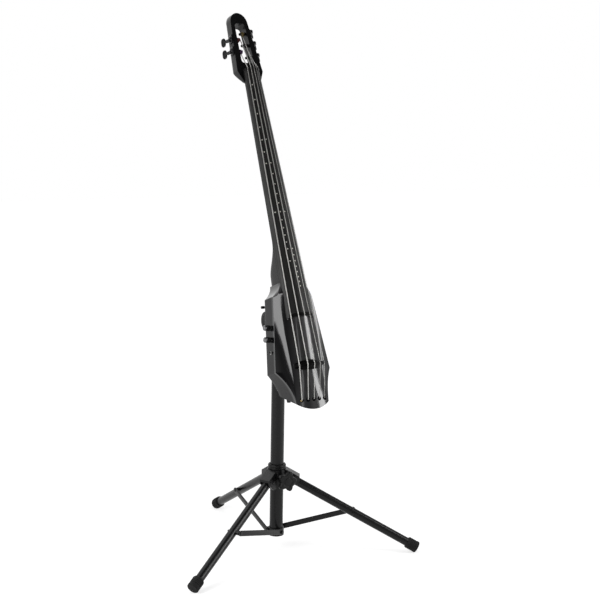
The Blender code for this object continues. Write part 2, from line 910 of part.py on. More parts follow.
def tube_mesh(name, route, radius):
    line = tube_curve(name, route, radius)
    holder = put("tool", line, None, neck_line)
    graph = bpy.context.evaluated_depsgraph_get()
    mesh = bpy.data.meshes.new_from_object(holder.evaluated_get(graph))
    bpy.data.objects.remove(holder)
    return mesh


routes = [string_route(k) for k in range(5)]
for k, route in enumerate(routes):
    groove = tube_mesh("groove", route[1:5], string_radii[k] * groove_ease + run_gap)
    cut(nut, groove, neck_line)
    groove = tube_mesh("groove", route[1:5], string_radii[k] * groove_ease + run_gap)
    cut(bridge, groove, neck_line)
    put("string_%d" % (k + 1), tube_curve("string", route, string_radii[k]), "steel", neck_line)

key_way = Vector((0.0, math.cos(key_lean), math.sin(key_lean)))
key_turn = key_way.to_track_quat("Z", "Y").to_euler()
worm_place = (-worm_offset, 0.0, worm_high)
bushing_outer = post_radius + run_gap + bushing_wall
bore_end = dome_high - dome_skin
plate_box = rectangle(-plate_long / 2, plate_long / 2, -plate_wide / 2, plate_wide / 2)
housing_outline = rounded(plate_box, plate_corner)
dome_profile = [
    (0.0, dome_high),
    (dome_radius * 0.8, dome_high),
    (dome_radius, dome_high * 0.8),
    (dome_radius, plate_thick / 2),
    (bushing_outer, plate_thick / 2),
    (bushing_outer, -bushing_deep),
    (0.0, -bushing_deep),
]
for k in range(5):
    place = tuner_frame(k)
    spot = place.translation
    turn = place.to_euler()
    machine = frame_empty("machine_%d" % (k + 1), neck_line, spot, turn)
    hole = rod("bushing_hole", bushing_outer + seat_gap, -2 * bushing_deep, bushing_deep)
    cut(neck, hole, machine)
    plate = prism("tuner_housing", housing_outline, seat_gap, plate_thick, "Z")
    housing = put("tuner_housing_%d" % (k + 1), plate, "dark", machine)
    join(housing, turned("dome", dome_profile, 16), machine)
    join(housing, rod("worm", worm_radius, -worm_back, worm_front, 12), machine, worm_place, key_turn)
    cut(housing, rod("post_bore", post_radius + run_gap, -2 * bushing_deep, bore_end, 16), machine)
    cut(housing, rod("key_bore", key_shaft + run_gap, 0.0, 2 * worm_front, 12), machine, worm_place, key_turn)
    tip = post_tip - head_half(spot.z)
    post_profile = [(0.0, bore_end - run_gap), (post_radius, bore_end - run_gap)]
    post_profile += [(post_radius, tip + post_bevel), (post_radius - post_bevel, tip), (0.0, tip)]
    put("tuner_post_%d" % (k + 1), turned("tuner_post", post_profile, 16), "steel", machine)
    key_seat = worm_front + seat_gap
    shaft_profile = [(0.0, run_gap), (key_shaft, run_gap), (key_shaft, key_seat)]
    shaft_profile += [(worm_radius * 0.8, key_seat), (worm_radius * 0.7, key_seat + key_collar)]
    shaft_profile += [(0.0, key_seat + key_collar)]
    name = "tuner_key_%d" % (k + 1)
    key = put(name, turned("tuner_key", shaft_profile, 12), "dark", machine, worm_place, key_turn)
    paddle_low = key_seat + key_collar / 2
    paddle_outline = rectangle(-key_long / 2, key_long / 2, paddle_low, paddle_low + key_wide)
    paddle = prism("paddle", rounded(paddle_outline, key_corner), -key_thick / 2, key_thick / 2, "Y")
    join(key, paddle, machine, worm_place, key_turn)

# bracket on the back, around the tilt axis
plate_front = -bracket_reach + seat_gap
plate_back = plate_front + bracket_thick
plate_box = rectangle(-bracket_half, bracket_half, -bracket_low, bracket_high)
plate = prism("bracket", rounded(plate_box, bracket_corner), plate_front, plate_back, "Y")
bracket = put("back_bracket", plate, "coat", tilt)
ear_corners = [
    (plate_front + bracket_thick / 2, -bracket_low * 0.8),
    (0.0, -ear_radius),
    (ear_radius, -ear_radius * 0.4),
    (ear_radius, ear_radius * 0.6),
    (-pin_forward + ear_round, pin_rise + ear_round),
    (plate_front + bracket_thick / 2, bracket_high * 0.92),
]
ear_outline = ear_corners[:1] + rounded(ear_corners, ear_corner)[4:-4] + ear_corners[-1:]
ear_inner = tilt_block_half + run_gap
for side in (-1, 1):
    near = side * ear_inner
    far = side * (ear_inner + ear_thick)
    join(bracket, prism("ear", ear_outline, min(near, far), max(near, far), "X"), tilt)
along_x = (0.0, math.pi / 2, 0.0)
cut(bracket, rod("axis_hole", tilt_bolt + run_gap, -hip_half, hip_half), tilt, (0.0, 0.0, 0.0), along_x)
pin_place = (0.0, -pin_forward, pin_rise)
cut(bracket, rod("pin_hole", pin_radius + seat_gap, -hip_half, hip_half, 16), tilt, pin_place, along_x)
ear_outer = ear_inner + ear_thick
pin_profile = [
    (0.0, -pin_out - pin_grip),
    (pin_head * 0.7, -pin_out - pin_grip),
    (pin_head, -pin_out - pin_grip * 0.7),
    (pin_head, -pin_out + pin_grip),
    (pin_radius, -pin_out + pin_grip),
    (pin_radius, ear_outer + seat_gap),
    (pin_head, ear_outer + seat_gap),
    (pin_head, ear_outer + pin_cap),
    (0.0, ear_outer + pin_cap),
]
put("bracket_pin", turned("bracket_pin", pin_profile, 12), "dark", tilt, pin_place, along_x)

# tilt head on the post
level = frame_empty("tilt_level", stand, (0.0, 0.0, tilt_height))
post_top = tilt_height - post_shoulder
shoulder = -post_shoulder + seat_gap
spigot = post_outer - post_wall - seat_gap
head_profile = [
    (0.0, shoulder - spigot_long),
    (spigot, shoulder - spigot_long),
    (spigot, shoulder),
    (post_outer, shoulder),
    (post_outer, shoulder + shoulder_high),
    (ear_radius, shoulder + shoulder_high + shoulder_cone),
    (0.0, shoulder + shoulder_high + shoulder_cone),
]
tilt_head = put("tilt_head", turned("tilt_head", head_profile), "coat", level)
block = [(-ear_radius, shoulder + shoulder_high / 2), (ear_radius, shoulder + shoulder_high / 2)]
for k in range(13):
    a = math.pi * k / 12
    block.append((ear_radius * math.cos(a), ear_radius * math.sin(a)))
join(tilt_head, prism("block", block, -tilt_block_half, tilt_block_half, "X"), level)
cut(tilt_head, rod("bolt_hole", tilt_bolt + run_gap, -hip_half, hip_half), level, (0.0, 0.0, 0.0), along_x)
knob_near = ear_outer + run_gap
bolt_tip = knob_near + tilt_knob_thick * 0.7
bolt_profile = [
    (0.0, -bolt_tip),
    (tilt_bolt, -bolt_tip),
    (tilt_bolt, ear_outer + run_gap),
    (bolt_head, ear_outer + run_gap),
    (bolt_head, ear_outer + run_gap + bolt_head_thick),
    (0.0, ear_outer + run_gap + bolt_head_thick),
]
put("tilt_bolt", turned("tilt_bolt", bolt_profile, 16), "steel", level, (0.0, 0.0, 0.0), along_x)
grip_far = knob_near + tilt_knob_thick
grip_profile = [
    (0.0, -grip_far),
    (tilt_knob * 0.85, -grip_far),
    (tilt_knob, -grip_far + tilt_knob_bevel),
    (tilt_knob, -knob_near - 2 * tilt_knob_bevel),
    (tilt_knob * 0.9, -knob_near - tilt_knob_bevel),
    (tilt_knob * 0.45, -knob_near),
    (tilt_bolt + run_gap, -knob_near),
    (tilt_bolt + run_gap, -bolt_tip - run_gap),
    (0.0, -bolt_tip - run_gap),
]
put("tilt_knob", turned("tilt_knob", grip_profile, 28), "dark", level, (0.0, 0.0, 0.0), along_x)

# post, collar and hub
post_profile = [
    (post_outer, post_bottom),
    (post_outer, post_top),
    (post_outer - post_wall, post_top),
    (post_outer - post_wall, post_bottom),
]
put("post", turned("post", post_profile, 24), "coat", stand)

collar_bore = post_outer + seat_gap
collar_outer = collar_bore + collar_wall
collar_top = post_bottom + collar_high
collar_profile = [
    (0.0, post_bottom - seat_gap - collar_floor),
    (collar_outer, post_bottom - seat_gap - collar_floor),
    (collar_outer, collar_top),
    (collar_bore, collar_top),
    (collar_bore, post_bottom - seat_gap),
    (0.0, post_bottom - seat_gap),
]
collar = put("bottom_collar", turned("bottom_collar", collar_profile, 24), "coat", stand)
along_y = (-math.pi / 2, 0.0, 0.0)
pin_far = brace_offset + brace_thick + 2 * seat_gap
pin_rod = [
    (0.0, brace_offset - pin_root),
    (hinge_pin, brace_offset - pin_root),
    (hinge_pin, pin_far),
    (brace_head, pin_far),
    (brace_head, pin_far + brace_head_thick),
    (0.0, pin_far + brace_head_thick),
]
lug_foot = brace_height - lug_low
lug_top = brace_height + lug_half
lug_box = rectangle(brace_reach - lug_half, brace_reach + lug_half, lug_foot, lug_top)
lug_outline = rounded(lug_box, lug_corner, 1)
spokes = [frame_empty("spoke", stand, (0.0, 0.0, 0.0), (0.0, 0.0, heading)) for heading in headings]
for spoke in spokes:
    join(collar, prism("lug", lug_outline, collar_bore * 0.8, brace_offset - seat_gap, "Y"), spoke)
    join(collar, turned("brace_pin", pin_rod, 12), spoke, (brace_reach, 0.0, brace_height), along_y)
cut(collar, rod("post_seat", collar_bore, post_bottom - seat_gap, 2 * collar_top), stand)

hub_bore = post_outer + run_gap
hub_outer = hub_bore + hub_wall
yoke_inner = leg_radius + run_gap
yoke_outer = yoke_inner + yoke_wall


def over_leg(reach):
    fall = (reach - hinge_reach) * math.tan(leg_angle)
    return hinge_height - fall + (leg_radius + 2 * run_gap) / math.cos(leg_angle)


# the yokes slope down along the legs from the top of the sleeve
hub_high = over_leg(hub_outer) + yoke_cover
sleeve = [(hub_outer, hub_low), (hub_outer, hub_high), (hub_bore, hub_high), (hub_bore, hub_low)]
hub = put("hub", turned("hub", sleeve, 24), "coat", stand)
yoke_root = hub_bore + hub_wall / 2
yoke_tip = over_leg(yoke_reach) + yoke_cover
cheek = [(yoke_root, yoke_low), (hinge_reach, yoke_low), (yoke_reach, yoke_tip - yoke_lip)]
cheek += [(yoke_reach, yoke_tip), (hub_outer, hub_high), (yoke_root, hub_high)]
for spoke in spokes:
    join(hub, prism("yoke", cheek, -yoke_outer, yoke_outer, "Y"), spoke)
channel_near = hub_outer + run_gap
channel_far = 2 * yoke_reach
channel = [(channel_near, 0.0), (channel_far, 0.0)]
channel += [(channel_far, over_leg(channel_far)), (channel_near, over_leg(channel_near))]
for spoke in spokes:
    cut(hub, prism("channel", channel, -yoke_inner, yoke_inner, "Y"), spoke)
    hole = rod("pin_hole", hinge_pin + seat_gap, -2 * yoke_outer, 2 * yoke_outer, 12)
    cut(hub, hole, spoke, (hinge_reach, 0.0, hinge_height), along_y)
front = (math.pi / 2, 0.0, 0.0)
clamp_place = (0.0, 0.0, clamp_height)
join(hub, rod("boss", clamp_boss, hub_bore + hub_wall / 2, clamp_boss_out, 16), stand, clamp_place, front)
cut(hub, rod("screw_hole", clamp_screw + run_gap, 0.0, 2 * clamp_boss_out, 16), stand, clamp_place, front)

bush_outer = hub_bore + bush_wall
bush_low = hub_high + seat_gap
bush_profile = [
    (hub_bore, bush_low),
    (bush_outer - bush_bevel / 2, bush_low),
    (bush_outer, bush_low + bush_bevel / 2),
    (bush_outer, bush_low + bush_high - bush_bevel),
    (bush_outer - bush_bevel, bush_low + bush_high),
    (hub_bore, bush_low + bush_high),
]
put("hub_bush", turned("hub_bush", bush_profile, 24), "dark", stand)


def star_ring(height, mean, wave):
    ring = []
    for k in range(star_points):
        a = math.tau * k / star_points
        r = mean + wave * math.cos(star_lobes * a)
        ring.append((r * math.cos(a), r * math.sin(a), height))
    return ring


star_rings = [
    star_ring(post_outer + run_gap, clamp_screw, 0.0),
    star_ring(clamp_boss_out + run_gap, clamp_screw, 0.0),
    star_ring(clamp_boss_out + run_gap, clamp_stem, 0.0),
    star_ring(star_near, clamp_stem, 0.0),
    star_ring(star_near, star_mean - star_bevel, star_wave),
    star_ring(star_near + star_bevel, star_mean, star_wave),
    star_ring(star_far - star_bevel, star_mean, star_wave),
    star_ring(star_far, star_mean - star_bevel, star_wave * 0.8),
]
put("star_knob", loft("star_knob", star_rings), "dark", stand, clamp_place, front)

tube_end = leg_length - foot_end - seat_gap
leg_profile = [
    (0.0, leg_start),
    (leg_radius, leg_start),
    (leg_radius, tube_end),
    (leg_radius - leg_wall, tube_end),
    (leg_radius - leg_wall, leg_plug),
    (0.0, leg_plug),
]
foot_bore = leg_radius + seat_gap
foot_back = leg_length - foot_long
foot_profile = [
    (0.0, leg_length),
    (foot_radius, leg_length),
    (foot_radius, leg_length - foot_band),
    (foot_radius - foot_groove, leg_length - foot_band - foot_groove),
    (foot_radius - foot_groove, leg_length - foot_band - foot_groove_wide + foot_groove),
    (foot_radius, leg_length - foot_band - foot_groove_wide),
    (foot_radius, foot_back + foot_lip),
    (foot_radius - foot_lip * 0.75, foot_back),
    (foot_bore, foot_back),
    (foot_bore, leg_length - foot_end),
    (0.0, leg_length - foot_end),
]
hinge_rod = [
    (0.0, -yoke_outer - seat_gap - hinge_pin_cap),
    (hinge_pin_head, -yoke_outer - seat_gap - hinge_pin_cap),
    (hinge_pin_head, -yoke_outer - seat_gap),
    (hinge_pin, -yoke_outer - seat_gap),
    (hinge_pin, yoke_outer + seat_gap),
    (hinge_pin_head, yoke_outer + seat_gap),
    (hinge_pin_head, yoke_outer + seat_gap + hinge_pin_cap),
    (0.0, yoke_outer + seat_gap + hinge_pin_cap),
]
along_leg = (0.0, math.pi / 2, 0.0)
here = (0.0, 0.0, 0.0)
leg_spot = (hinge_reach, 0.0, hinge_height)
brace_spot = (brace_reach, 0.0, brace_height)
leg_skin = leg_radius - leg_wall / 2
meet_out = hinge_reach + brace_on_leg * math.cos(leg_angle) - brace_reach
meet_up = hinge_height - brace_on_leg * math.sin(leg_angle) - brace_height
brace_length = math.hypot(meet_out, meet_up)
brace_angle = math.atan2(meet_up, meet_out)
level_box = rectangle(-foot_reach, foot_reach, -1.0, hinge_height - hinge_true)
for k, heading in enumerate(headings):
    number = str(k + 1)
    spoke = spokes[k]
    joint = frame_empty("leg_joint_" + number, spoke, leg_spot, (0.0, leg_angle, 0.0))
    leg = put("leg_" + number, turned("leg", leg_profile, 20), "coat", joint, here, along_leg)
    eye_half = leg_radius - run_gap
    join(leg, rod("eye", leg_eye, -eye_half, eye_half, 16), joint, here, along_y)
    cut(leg, rod("eye_hole", hinge_pin + run_gap, -leg_radius, leg_radius, 12), joint, here, along_y)
    boss = rod("boss", boss_radius, leg_skin, brace_offset, 12)
    join(leg, boss, joint, (brace_on_leg, 0.0, 0.0), along_y)
    bolt_far = rod("bolt_end", bolt_end, -leg_radius - bolt_end_out, -leg_skin, 8)
    join(leg, bolt_far, joint, (brace_on_leg, 0.0, 0.0), along_y)
    foot = put("foot_" + number, turned("foot", foot_profile, 20), "rubber", joint, here, along_leg)
    cut(foot, prism("floor", level_box, -foot_reach, foot_reach, "Y"), spoke)
    put("leg_pin_" + number, turned("leg_pin", hinge_rod, 12), "steel", spoke, leg_spot, along_y)
    swing = frame_empty("brace_joint_" + number, spoke, brace_spot, (0.0, -brace_angle, 0.0))
    bar = []
    for centre, start in ((brace_length, -0.5), (0.0, 0.5)):
        for j in range(9):
            a = math.pi * (start + j / 8)
            bar.append((centre + brace_eye * math.cos(a), brace_eye * math.sin(a)))
    near = brace_offset + seat_gap
    brace = put("brace_" + number, prism("brace", bar, near, near + brace_thick, "Y"), "coat", swing)
    cut(brace, rod("brace_hole", hinge_pin + run_gap, 0.0, 2 * pin_far, 16), swing, here, along_y)
    bolt_top = near + brace_thick + brace_head_thick / 2
    bolt = rod("brace_bolt", brace_head, near + brace_thick / 2, bolt_top, 6)
    join(brace, bolt, swing, (brace_length, 0.0, 0.0), along_y)

bpy.context.view_layer.update()
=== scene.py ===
import math

import bmesh
import bpy
import numpy as np
from mathutils import Matrix, Vector


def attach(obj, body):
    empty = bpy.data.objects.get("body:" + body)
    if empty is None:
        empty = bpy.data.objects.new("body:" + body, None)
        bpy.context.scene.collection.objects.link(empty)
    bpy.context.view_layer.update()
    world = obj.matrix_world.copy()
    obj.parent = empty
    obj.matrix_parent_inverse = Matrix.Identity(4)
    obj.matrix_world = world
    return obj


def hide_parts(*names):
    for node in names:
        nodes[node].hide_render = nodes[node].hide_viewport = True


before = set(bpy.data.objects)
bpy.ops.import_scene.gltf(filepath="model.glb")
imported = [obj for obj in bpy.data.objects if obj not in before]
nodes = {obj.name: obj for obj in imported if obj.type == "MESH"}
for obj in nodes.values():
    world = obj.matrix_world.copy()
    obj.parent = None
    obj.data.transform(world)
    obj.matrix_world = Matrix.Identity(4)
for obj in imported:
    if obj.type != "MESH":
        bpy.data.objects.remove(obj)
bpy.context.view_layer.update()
print("frame:", len(nodes), "nodes")


# from low to high by a share
def mix(share, low, high):
    return low + (high - low) * share


# 0 up to low, 1 from high, straight between
def ramp(value, low, high):
    return np.clip((value - low) / (high - low), 0.0, 1.0)


# a share with a soft start and end
def ease(share):
    return share * share * (3.0 - 2.0 * share)


# even shares of a run, without its start
def shares(count):
    return np.linspace(0.0, 1.0, count + 1)[1:]


# height of an arc of this radius above its chord line, x away from the middle
def sagitta(radius, x):
    return radius - np.sqrt(radius * radius - x * x)


def shift(x, y, z):
    return Matrix.Translation((x, y, z))


def turn(angle, axis):
    return Matrix.Rotation(angle, 4, axis)


# points moved by a frame
def carry(points, place):
    grid = np.array(place)
    return points @ grid[:3, :3].T + grid[:3, 3]


def unit(vectors):
    return vectors / np.linalg.norm(vectors, axis=-1, keepdims=True)


# a grid of points from three arrays that fit each other
def spots(x, y, z):
    return np.stack(np.broadcast_arrays(x, y, z), axis=-1)


# points about the z axis
def around(radius, angle, height):
    return spots(radius * np.cos(angle), radius * np.sin(angle), height)


# a grid of rows x columns points: each cell is one face, an open end is closed by one flat face
def sheet(points, closeRows=False, closeColumns=True, caps=(True, True)):
    rows, columns = points.shape[:2]
    index = np.arange(rows * columns).reshape(rows, columns)
    ends = (index[0].tolist(), index[-1].tolist())
    if closeColumns:
        index = np.concatenate([index, index[:, :1]], axis=1)
    if closeRows:
        index = np.concatenate([index, index[:1]], axis=0)
    cells = np.stack([index[:-1, :-1], index[:-1, 1:], index[1:, 1:], index[1:, :-1]], axis=-1)
    faces = cells.reshape(-1, 4).tolist()
    faces += [end for end, wanted in zip(ends, caps) if wanted]
    return points.reshape(-1, 3), faces


# every corner of a line becomes a short bend: start, corner and end blended with squared weights
def softLine(corners, reach, steps=4, closed=False):
    corners = np.asarray(corners, float)
    back = np.roll(corners, 1, axis=0) - corners
    ahead = np.roll(corners, -1, axis=0) - corners
    backLong = np.linalg.norm(back, axis=1, keepdims=True)
    aheadLong = np.linalg.norm(ahead, axis=1, keepdims=True)
    start = corners + back / backLong * np.minimum(reach, 0.45 * backLong)
    end = corners + ahead / aheadLong * np.minimum(reach, 0.45 * aheadLong)
    t = np.linspace(0.0, 1.0, steps + 1)[None, :, None]
    bends = start[:, None] * (1 - t) ** 2 + corners[:, None] * 2 * t * (1 - t) + end[:, None] * t * t
    if closed:
        return bends.reshape(-1, corners.shape[1])
    return np.concatenate([corners[:1], bends[1:-1].reshape(-1, corners.shape[1]), corners[-1:]])


# a profile of radius and height carried round the z axis; flutes press shallow waves into the marked rows
def turned(profile, sides=64, closed=False, flutes=0, deep=0.0, between=(0.0, 0.0)):
    profile = np.asarray(profile, float)
    angle = np.linspace(0.0, math.tau, sides, endpoint=False)[None, :]
    marked = ((profile[:, 1] > between[0]) & (profile[:, 1] < between[1]))[:, None]
    radius = profile[:, :1] - marked * deep * (0.5 + 0.5 * np.cos(flutes * angle)) ** 3
    return sheet(around(radius, angle, profile[:, 1:]), closeRows=closed, caps=(not closed, not closed))


# the same with the corners of the profile softened
def turnedSoft(profile, reach, steps, sides, closed=False, *flutes):
    return turned(softLine(profile, reach, steps, closed), sides, closed, *flutes)


# a plate: its outline drawn in along its own normals by a quarter circle at both faces
def slab(outline, low, high, edge, steps=3):
    outline = np.asarray(outline, float)
    run = np.roll(outline, -1, axis=0) - np.roll(outline, 1, axis=0)
    out = unit(np.stack([run[:, 1], -run[:, 0]], axis=1))
    ahead = np.roll(outline, -1, axis=0)
    if np.sum(outline[:, 0] * ahead[:, 1] - outline[:, 1] * ahead[:, 0]) < 0.0:
        out = -out
    a = np.linspace(0.0, math.pi / 2, steps + 1)
    inset = edge * (1 - np.sin(a))
    lift = edge * (1 - np.cos(a))
    inset = np.concatenate([inset, inset[::-1]])
    height = np.concatenate([low + lift, high - lift[::-1]])
    flat = outline[None] - inset[:, None, None] * out[None]
    return sheet(spots(flat[..., 0], flat[..., 1], height[:, None]))


# a round wire: a circle carried along the path, square to its run and to one cross direction
def wire(path, radius, sides, across):
    leg = unit(np.diff(path, axis=0))
    run = unit(np.concatenate([leg[:1], leg[:-1] + leg[1:], leg[-1:]]))
    side = unit(across - (run @ across)[:, None] * run)
    lift = np.cross(run, side)
    angle = np.linspace(0.0, math.tau, sides, endpoint=False)[None, :, None]
    points = path[:, None] + radius * (np.cos(angle) * side[:, None] + np.sin(angle) * lift[:, None])
    return sheet(points)


def rectangle(lowA, highA, lowB, highB):
    return [(lowA, lowB), (highA, lowB), (highA, highB), (lowA, highB)]


def placed(part, place):
    return carry(part[0], place), part[1]


# a part drawn flat, stood up so that its height runs along y
def lain(part):
    return part[0][:, [0, 2, 1]], part[1]


creaseAngle = math.radians(36.0)  # edges of new pieces above this stay sharp
softAngle = math.radians(32.0)  # edges of CAD nodes above this are softened
flatAngle = math.radians(1.0)  # faces of CAD nodes below this become one
nodeWeld = 0.00002  # the loose triangles of a CAD node are joined within this
toolEdge = 0.0001  # the small round on a plate that only cuts


# smooth, but sharp where faces meet at more than the angle
def shade(mesh, angle=creaseAngle):
    mesh.shade_smooth()
    mesh.set_sharp_from_angle(angle=angle)


# several parts in one mesh, its faces turned outwards
def makeMesh(name, parts, merge=0.0):
    points = []
    faces = []
    count = 0
    for part in parts:
        points.append(part[0])
        faces += [[corner + count for corner in face] for face in part[1]]
        count += len(part[0])
    mesh = bpy.data.meshes.new(name)
    mesh.from_pydata(np.concatenate(points), [], faces)
    work = bmesh.new()
    work.from_mesh(mesh)
    if merge:
        bmesh.ops.remove_doubles(work, verts=work.verts, dist=merge)
    bmesh.ops.recalc_face_normals(work, faces=work.faces)
    work.to_mesh(mesh)
    work.free()
    shade(mesh)
    return mesh


def newObject(name, data):
    made = bpy.data.objects.new(name, data)
    bpy.context.scene.collection.objects.link(made)
    return made


def coat(mesh, finish):
    mesh.materials.clear()
    mesh.materials.append(finish)


# a finished mesh with its finish, the body it rides on and the CAD nodes it stands for
def piece(name, mesh, finish, body, stands=()):
    made = newObject(name, mesh)
    coat(mesh, finish)
    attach(made, body)
    if stands:
        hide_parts(*stands)
    return made


# names that end in the number of the piece
def numbered(k, *words):
    return [word + str(k + 1) for word in words]


# a piece from its parts, drawn at the origin and then set in place
def newPiece(name, parts, place, finish, body, stands=()):
    mesh = makeMesh(name, parts)
    mesh.transform(place)
    piece(name, mesh, finish, body, stands)


# a round of this width on edges above the angle
def soften(made, width, segments, angle):
    soft = made.modifiers.new("soften", "BEVEL")
    soft.width = width
    soft.segments = segments
    soft.limit_method = "ANGLE"
    soft.angle_limit = angle


# takes the closed tools out of a closed mesh
def carve(mesh, tools):
    held = newObject("held", mesh)
    tool = newObject("tool", makeMesh("tool", tools))
    change = held.modifiers.new("carve", "BOOLEAN")
    change.operation = "DIFFERENCE"
    change.solver = "EXACT"
    change.object = tool
    graph = bpy.context.evaluated_depsgraph_get()
    solid = bpy.data.meshes.new_from_object(held.evaluated_get(graph))
    for made in (held, tool):
        bpy.data.objects.remove(made)
    shade(solid)
    return solid


# a merged copy of a CAD node with softened edges, standing for the node
def softened(node, name, finish, body, width, segments=2):
    mesh = nodes[node].data.copy()
    work = bmesh.new()
    work.from_mesh(mesh)
    bmesh.ops.remove_doubles(work, verts=work.verts, dist=nodeWeld)
    bmesh.ops.dissolve_limit(work, angle_limit=flatAngle, verts=work.verts, edges=work.edges)
    work.to_mesh(mesh)
    work.free()
    if mesh.has_custom_normals:
        mesh.attributes.remove(mesh.attributes["custom_normal"])
    shade(mesh, softAngle)
    made = piece(name, mesh, finish, body, (node,))
    soften(made, width, segments, softAngle)
    even = made.modifiers.new("even", "WEIGHTED_NORMAL")
    even.keep_sharp = True


def setInputs(node, inputs):
    for word, value in inputs.items():
        node.inputs[word].default_value = value


# a node's own settings come first, because they decide which inputs it has
def addNode(tree, kind, inputs=(), **settings):
    node = tree.nodes.new("ShaderNode" + kind)
    for word, value in settings.items():
        setattr(node, word, value)
    setInputs(node, dict(inputs))
    return node


# each link is a node, its output, the next node and its input
def join(tree, *links):
    for start, output, end, entry in links:
        tree.links.new(start.outputs[output], end.inputs[entry])


# shared effects: named inputs with their first values, one output
def newGroup(name, output, **inputs):
    kinds = {True: "NodeSocketColor", False: "NodeSocketFloat"}
    group = bpy.data.node_groups.new(name, "ShaderNodeTree")
    for word, value in inputs.items():
        kind = kinds[isinstance(value, tuple)]
        group.interface.new_socket(word, in_out="INPUT", socket_type=kind).default_value = value
    group.interface.new_socket(output, in_out="OUTPUT", socket_type=kinds[output == "Color"])
    return group, group.nodes.new("NodeGroupInput"), group.nodes.new("NodeGroupOutput")


# cloudy patches between two values of gloss
def smudgeGroup():
    group, given, out = newGroup("smudges", "Value", Scale=20.0, Low=0.3, High=0.4)
    spot = addNode(group, "TexCoord")
    cloud = addNode(group, "TexNoise", {"Detail": 5.0, "Roughness": 0.62})
    span = addNode(group, "MapRange", {"From Min": 0.32, "From Max": 0.68})
    join(
        group,
        (spot, "Object", cloud, "Vector"),
        (given, "Scale", cloud, "Scale"),
        (cloud, "Fac", span, "Value"),
        (given, "Low", span, "To Min"),
        (given, "High", span, "To Max"),
        (span, "Result", out, "Value"),
    )
    return group


# the fine skin of a sprayed or moulded surface
def peelGroup():
    group, given, out = newGroup("peel", "Height", Scale=900.0, Grit=2.0)
    spot = addNode(group, "TexCoord")
    grain = addNode(group, "TexNoise")
    join(
        group,
        (spot, "Object", grain, "Vector"),
        (given, "Scale", grain, "Scale"),
        (given, "Grit", grain, "Detail"),
        (grain, "Fac", out, "Height"),
    )
    return group


# paler, broken wear where the surface is sharp
def rubGroup():
    group, given, out = newGroup(
        "edgeRub", "Color", Scale=60.0, Base=(0.01, 0.01, 0.01, 1.0), Worn=(0.08, 0.08, 0.08, 1.0),
    )
    spot = addNode(group, "TexCoord")
    form = addNode(group, "NewGeometry")
    patch = addNode(group, "TexNoise", {"Detail": 4.0})
    edge = addNode(group, "MapRange", {"From Min": 0.53, "From Max": 0.66})
    broken = addNode(group, "MapRange", {"From Min": 0.42, "From Max": 0.70})
    both = addNode(group, "Math", operation="MULTIPLY")
    blend = addNode(group, "Mix", data_type="RGBA")
    join(
        group,
        (spot, "Object", patch, "Vector"),
        (given, "Scale", patch, "Scale"),
        (form, "Pointiness", edge, "Value"),
        (patch, "Fac", broken, "Value"),
        (edge, "Result", both, 0),
        (broken, "Result", both, 1),
        (both, 0, blend, "Factor"),
        (given, "Base", blend, "A"),
        (given, "Worn", blend, "B"),
        (blend, "Result", out, "Color"),
    )
    return group


smudges = smudgeGroup()
peel = peelGroup()
edgeRub = rubGroup()


def addGroup(tree, group, **values):
    return addNode(tree, "Group", values, node_tree=group)


def newMaterial(name, inputs):
    made = bpy.data.materials.new(name)
    made.use_nodes = True
    shader = made.node_tree.nodes["Principled BSDF"]
    setInputs(shader, inputs)
    return made, made.node_tree, shader


# the plain build of a finish: worn edges in the colour, smudges in the gloss, a fine skin in the bump
def newFinish(name, look):
    made, tree, shader = newMaterial(name, {
        "Metallic": look.get("metal", 0.0), "Specular IOR Level": look.get("shine", 0.5),
        "Coat Weight": look.get("coat", 0.0), "Coat Roughness": look.get("coatRough", 0.03),
    })
    rub = addGroup(tree, edgeRub, Base=(*look["colour"], 1.0), Worn=(*look["worn"], 1.0))
    smudge = addGroup(tree, smudges, Scale=look["smudge"], Low=look["rough"][0], High=look["rough"][1])
    skin = addGroup(tree, peel, Scale=look["peel"], Grit=look.get("grit", 2.0))
    bump = addNode(tree, "Bump", {"Strength": look["relief"], "Distance": look.get("deep", 0.0002)})
    join(
        tree,
        (rub, "Color", shader, "Base Color"),
        (smudge, "Value", shader, "Roughness"),
        (skin, "Height", bump, "Height"),
        (bump, "Normal", shader, "Normal"),
    )
    return dict(made=made, tree=tree, shader=shader, rub=rub, smudge=smudge, bump=bump)


def plainFinish(name, look):
    return newFinish(name, look)["made"]


satinNeck = plainFinish("satinNeck", dict(
    colour=(0.0028, 0.0028, 0.003), worn=(0.012, 0.012, 0.0125), rough=(0.22, 0.31), smudge=24.0,
    peel=700.0, relief=0.10, shine=0.18,
))
coverResin = plainFinish("coverResin", dict(
    colour=(0.009, 0.009, 0.009), worn=(0.030, 0.030, 0.030), rough=(0.42, 0.55), smudge=40.0,
    peel=1800.0, relief=0.22, shine=0.3,
))
blackResin = plainFinish("blackResin", dict(
    colour=(0.0045, 0.0045, 0.0045), worn=(0.022, 0.022, 0.022), rough=(0.34, 0.48), smudge=55.0,
    peel=1600.0, relief=0.18, shine=0.2,
))
powderCoat = plainFinish("powderCoat", dict(
    colour=(0.0045, 0.0045, 0.0048), worn=(0.028, 0.028, 0.028), rough=(0.24, 0.33), smudge=18.0,
    peel=1500.0, relief=0.20, shine=0.22,
))
rubberBlack = plainFinish("rubberBlack", dict(
    colour=(0.008, 0.008, 0.008), worn=(0.024, 0.023, 0.022), rough=(0.62, 0.78), smudge=50.0,
    peel=1200.0, relief=0.30, grit=4.0, shine=0.2,
))
bareSteel = plainFinish("bareSteel", dict(
    colour=(0.52, 0.52, 0.51), worn=(0.66, 0.66, 0.65), rough=(0.22, 0.36), smudge=70.0,
    peel=2200.0, relief=0.10, metal=1.0,
))
